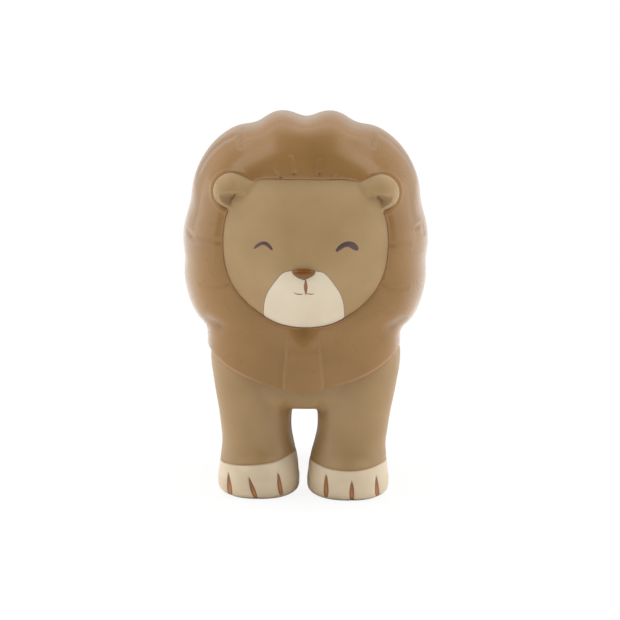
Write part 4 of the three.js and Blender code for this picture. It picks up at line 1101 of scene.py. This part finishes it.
# %% [markdown]
# ## The muzzle
# The pale patch is a thick film of paint on the snout: an arch with full shoulders, which follows the edge of
# the face below. The grid's spokes run from its middle to that outline, where the film rounds down to nothing.

# %% Muzzle film
PATCH_X, PATCH_HALF, PATCH_LOW, PATCH_TOP, PATCH_MIDDLE_Z, FILM = 0.35, 12.2, 53.0, 73.4, 61.5, 0.14
PATCH_COLUMNS, FILM_ROUND, FILM_SINK = 300, 0.35, 0.3
patch_share = curve([[0, 1], [0.22, 1], [0.35, 0.992], [0.5, 0.963], [0.65, 0.878], [0.77, 0.755],
                             [0.87, 0.64], [0.945, 0.53], [0.98, 0.43], [1, 0.25]])
muzzle_turn = around(PATCH_COLUMNS)[0]


def from_patch(reach):
    """Front-view places so far out from the patch's middle, one for each of its turns."""
    return PATCH_X + reach * np.sin(muzzle_turn), PATCH_MIDDLE_Z + reach * np.cos(muzzle_turn)


def in_patch(reach):
    """True inside the arch and inside the face's outline."""
    x, z = from_patch(reach)
    up = (z - PATCH_LOW) / (PATCH_TOP - PATCH_LOW)
    arch = np.where(up < 1, np.abs(x - PATCH_X) / (PATCH_HALF * patch_share(up)), 2.0)
    return np.maximum(arch, out_of_face(x, z) + 0.006) < 1


patch_reach = halved(in_patch, PATCH_COLUMNS, 1.0, 20.0)
patch_reach = np.convolve(np.tile(patch_reach, 3), np.ones(5) / 5, mode="same")[PATCH_COLUMNS:2 * PATCH_COLUMNS]
walk = np.concatenate([np.linspace(0, 0.94, 60), 1 - 0.06 * (1 - np.linspace(0, 1, 12)[1:]) ** 2,
                       np.linspace(1, 0, 20)[1:]])[:, None]
below = np.arange(len(walk))[:, None] > 70
x, z = from_patch(walk * patch_reach)
to_edge = np.clip((1 - walk) * patch_reach / FILM_ROUND, 0, 1)
lift = np.where(below, -FILM_SINK * np.clip((1 - walk) * 20, 0, 1), FILM * np.sqrt(1 - (1 - to_edge) ** 2))
dress(make("muzzle_film", grid(x, face_y(x, z) - lift, z)), "muzzle_cream", muzzle_paint, "muzzle")

# %% [markdown]
# ## Brush strokes
# Eyes, mouth and the grey line round the muzzle are strokes: a path in front view, half-widths along it and
# the surface it lies on. Each is a slim tube, half sunk in that surface, with pointed ends.


# %% Stroke helper
def lagrange_line(knots, values, walk):
    """The polynomial through all points of a short path, weighted by the distance to the other knots."""
    total = np.zeros_like(walk)
    for i, knot in enumerate(knots):
        others = np.delete(knots, i)
        total += values[i] * np.prod([(walk - other) / (knot - other) for other in others], axis=0)
    return total


def tube(name, x_line, z_line, half, surface, proud, slot, finish, closed=False):
    """A slim tube along a line in front view, half sunk in the surface y(x, z)."""
    step_x, step_z = (np.roll(v, -1) - np.roll(v, 1) if closed else np.gradient(v) for v in (x_line, z_line))
    size = np.hypot(step_x, step_z) + 1e-9
    turn = around(12)
    x = x_line[:, None] - (step_z / size * half)[:, None] * np.cos(turn)
    z = z_line[:, None] + (step_x / size * half)[:, None] * np.cos(turn)
    shrink = (half / half.max())[:, None] ** 0.5
    points = grid(x, surface(x, z) - proud * shrink * np.sin(turn), z)
    faces = grid_faces(*points.shape[:2], rows_close=closed)
    dress(make(name, points, faces, merge_mm=0.002), slot, finish)


def stroke(name, path, halves, surface, proud, finish):
    """A painted stroke through a few places (x, z) of a path, pointed at both ends."""
    knots = np.linspace(0, 1, len(path))
    walk = (1 - np.cos(np.linspace(0, np.pi, 60))) / 2
    x_line, z_line = (lagrange_line(knots, values, walk) for values in np.array(path).T)
    half = curve(np.column_stack([knots, halves]))(walk) * np.sqrt(np.clip(1 - (2 * walk - 1) ** 8, 0, 1))
    half[[0, -1]] = 0.0
    tube(name, x_line, z_line, half, surface, proud, "nose_brown", finish)


def muzzle_y(x, z):
    """The surface of the muzzle's film."""
    return face_y(x, z) - FILM


# %% Eyes, mouth and the muzzle's edge line
stroke("eye_stroke_right", [(-14.7, 79.3), (-13.45, 80.5), (-11.8, 81.15), (-10.35, 80.55), (-9.1, 79.3)],
       [0.34, 0.46, 0.54, 0.56, 0.42], face_y, 0.12, eye_paint)
stroke("eye_stroke_left", [(9.95, 79.1), (11.35, 80.35), (13.3, 81.15), (15.15, 80.5), (16.5, 79.25)],
       [0.5, 0.68, 0.82, 0.95, 0.66], face_y, 0.12, eye_paint)
stroke("mouth_line", [(0.95, 71.0), (0.98, 68.4), (1.02, 65.9)], [0.26, 0.58, 0.2], muzzle_y, 0.1, mouth_paint)
stroke("mouth_curl_right", [(-2.6, 66.65), (-1.7, 66.15), (-0.6, 66.05), (0.15, 66.3)], [0.1, 0.17, 0.17, 0.06],
       muzzle_y, 0.08, mouth_paint)
stroke("mouth_curl_left", [(1.15, 66.45), (1.95, 66.22), (2.8, 66.15), (3.65, 66.5)], [0.08, 0.15, 0.15, 0.06],
       muzzle_y, 0.08, mouth_paint)
# A thin grey line runs round the muzzle's edge
tube("muzzle_edge_line", *from_patch(patch_reach + 0.06), np.full(PATCH_COLUMNS, 0.13), face_y, 0.06,
     "muzzle_cream", muzzle_edge_grey, closed=True)

# %% [markdown]
# ## The nose
# The nose is a small wedge with a flat top, wide above and pointed below: a stack of rounded sections whose
# upper edge bows up a little. Its underside is tinted olive brown, a painted reflection of the pale muzzle.

# %% Nose
NOSE_X, NOSE_Z, NOSE_HALF, NOSE_HEIGHT, NOSE_PROUD, NOSE_POWER = 0.35, 72.4, 3.5, 3.3, 1.5, 2.2
# Height from the middle, share of the half-width, share of how far it stands out
nose_rows = np.array([(-0.5, 0.12, 0.35), (-0.36, 0.45, 0.7), (-0.12, 0.8, 0.95), (0.15, 1, 1), (0.38, 0.92, 0.85),
                      (0.5, 0.5, 0.4)])
height = -0.5 * np.cos(np.linspace(0, np.pi, 40))[:, None]
wide, deep = (curve(nose_rows[:, [0, i]])(height) for i in (1, 2))
across, along = boxy(around(72), NOSE_POWER)
across = across * wide
z = NOSE_Z + height * NOSE_HEIGHT - 0.3 * across ** 2 * (height > 0) * height * 2
seat = float(face_y(np.array(0.0), np.array(NOSE_Z)))
points = close_ends(grid(NOSE_X + NOSE_HALF * across, seat + along * NOSE_PROUD * deep, z))
# The lower part gets the painted reflection of the muzzle.
lower = ease(-(points[..., 2] - NOSE_Z), -0.15, 0.35)
dress(make("nose_button", points, marks={"below": lower}), "nose_brown", nose_lacquer, "nose")

# %% [markdown]
# ## The tail
# The tail leaves the rump, bends over and hangs close behind it: a round section carried along a curve. The
# tuft at its end is a drop of hair with five soft locks.


# %% Tail and tuft
def swept(line_y, line_z, radius):
    """Corners of a limb: circles square to a curve in the middle plane, radius given as (step, turn)."""
    step_y, step_z = np.gradient(line_y), np.gradient(line_z)
    size = np.hypot(step_y, step_z)
    turn = around(radius.shape[1])
    off = radius * np.sin(turn)
    return close_ends(grid(radius * np.cos(turn), line_y[:, None] - (step_z / size)[:, None] * off,
                           line_z[:, None] + (step_y / size)[:, None] * off))


TAIL_BACK, TAIL_ROOT_Z, TAIL_TIP_Z, ROOT_RADIUS, TIP_RADIUS = 50.9, 60.0, 32.0, 3.6, 2.3
knots = np.array([[TORSO_REAR - 5.4, TAIL_ROOT_Z], [TORSO_REAR - 1.8, TAIL_ROOT_Z],
                  [TAIL_BACK - 1.2, TAIL_ROOT_Z - 3.6], [TAIL_BACK, 46.0], [TAIL_BACK - 0.77, TAIL_TIP_Z]])
spans = np.concatenate([[0], np.cumsum(np.hypot(*np.diff(knots, axis=0).T) ** 0.5)])
line = [curve(np.column_stack([spans, knots[:, i]]))(np.linspace(0, spans[-1], 90)) for i in (0, 1)]
share = np.linspace(0, 1, 90)[:, None]
limb = swept(*line, ROOT_RADIUS + (TIP_RADIUS - ROOT_RADIUS) * share + 0 * around(48))
dress(make("tail_limb", limb), "body_tan", body_vinyl, "tail")

TUFT_RADIUS, TUFT_TOP, TUFT_LENGTH = 5.2, 36.0, 16.0
LOCK_COUNT, LOCK_DEPTH, STRAND_COUNT, STRAND_DEPTH = 5, 0.11, 23, 0.012
tuft_swell = curve([(0, 0.5), (0.2, 0.72), (0.5, 1), (0.75, 0.78), (1, 0.12)])
share, fan = np.linspace(0, 1, 110)[:, None], around(160)
locks = 1 + LOCK_DEPTH * np.cos(LOCK_COUNT * (fan + 0.35 * share)) * np.sin(np.pi * share)
strands = 1 + STRAND_DEPTH * np.cos(STRAND_COUNT * fan + 5 * share) * np.sin(np.pi * share)
tuft = swept(TAIL_BACK - TIP_RADIUS * share[:, 0], TUFT_TOP - TUFT_LENGTH * share[:, 0],
             TUFT_RADIUS * tuft_swell(share) * locks * strands)
# The grooves between the tuft's locks get painted shade.
tuft_marks = {"crease_with_painted_shade": np.pad(ease(-locks, -0.97, -0.9), ((1, 1), (0, 0))), "lip": np.zeros(tuft.shape[:2])}
dress(make("tail_tuft_hair", tuft, marks=tuft_marks), "mane_brown", mane_vinyl, "tail_tuft")

# %% [markdown]
# ## The belly plug
# A soft disc closes the hole through which the moulding was drained: a profile turned round an upright axis.

# %% Plug
PLUG_LOW = 26.3
profile = np.array([(0, 0), (5.6, 0), (6.6, 0.06), (7.2, 0.22), (7.5, 0.5), (7.6, 0.85), (7.55, 1.15), (6.0, 1.2),
                    (6.0, 3.7), (0, 3.7)])
out, turn = profile[:, :1], around(96)
disc = grid(out * np.cos(turn), PLUG_Y + out * np.sin(turn), PLUG_LOW + profile[:, 1:])
dress(make("belly_plug_disc", disc), "body_tan", body_vinyl, "belly_plug", sharp=40)
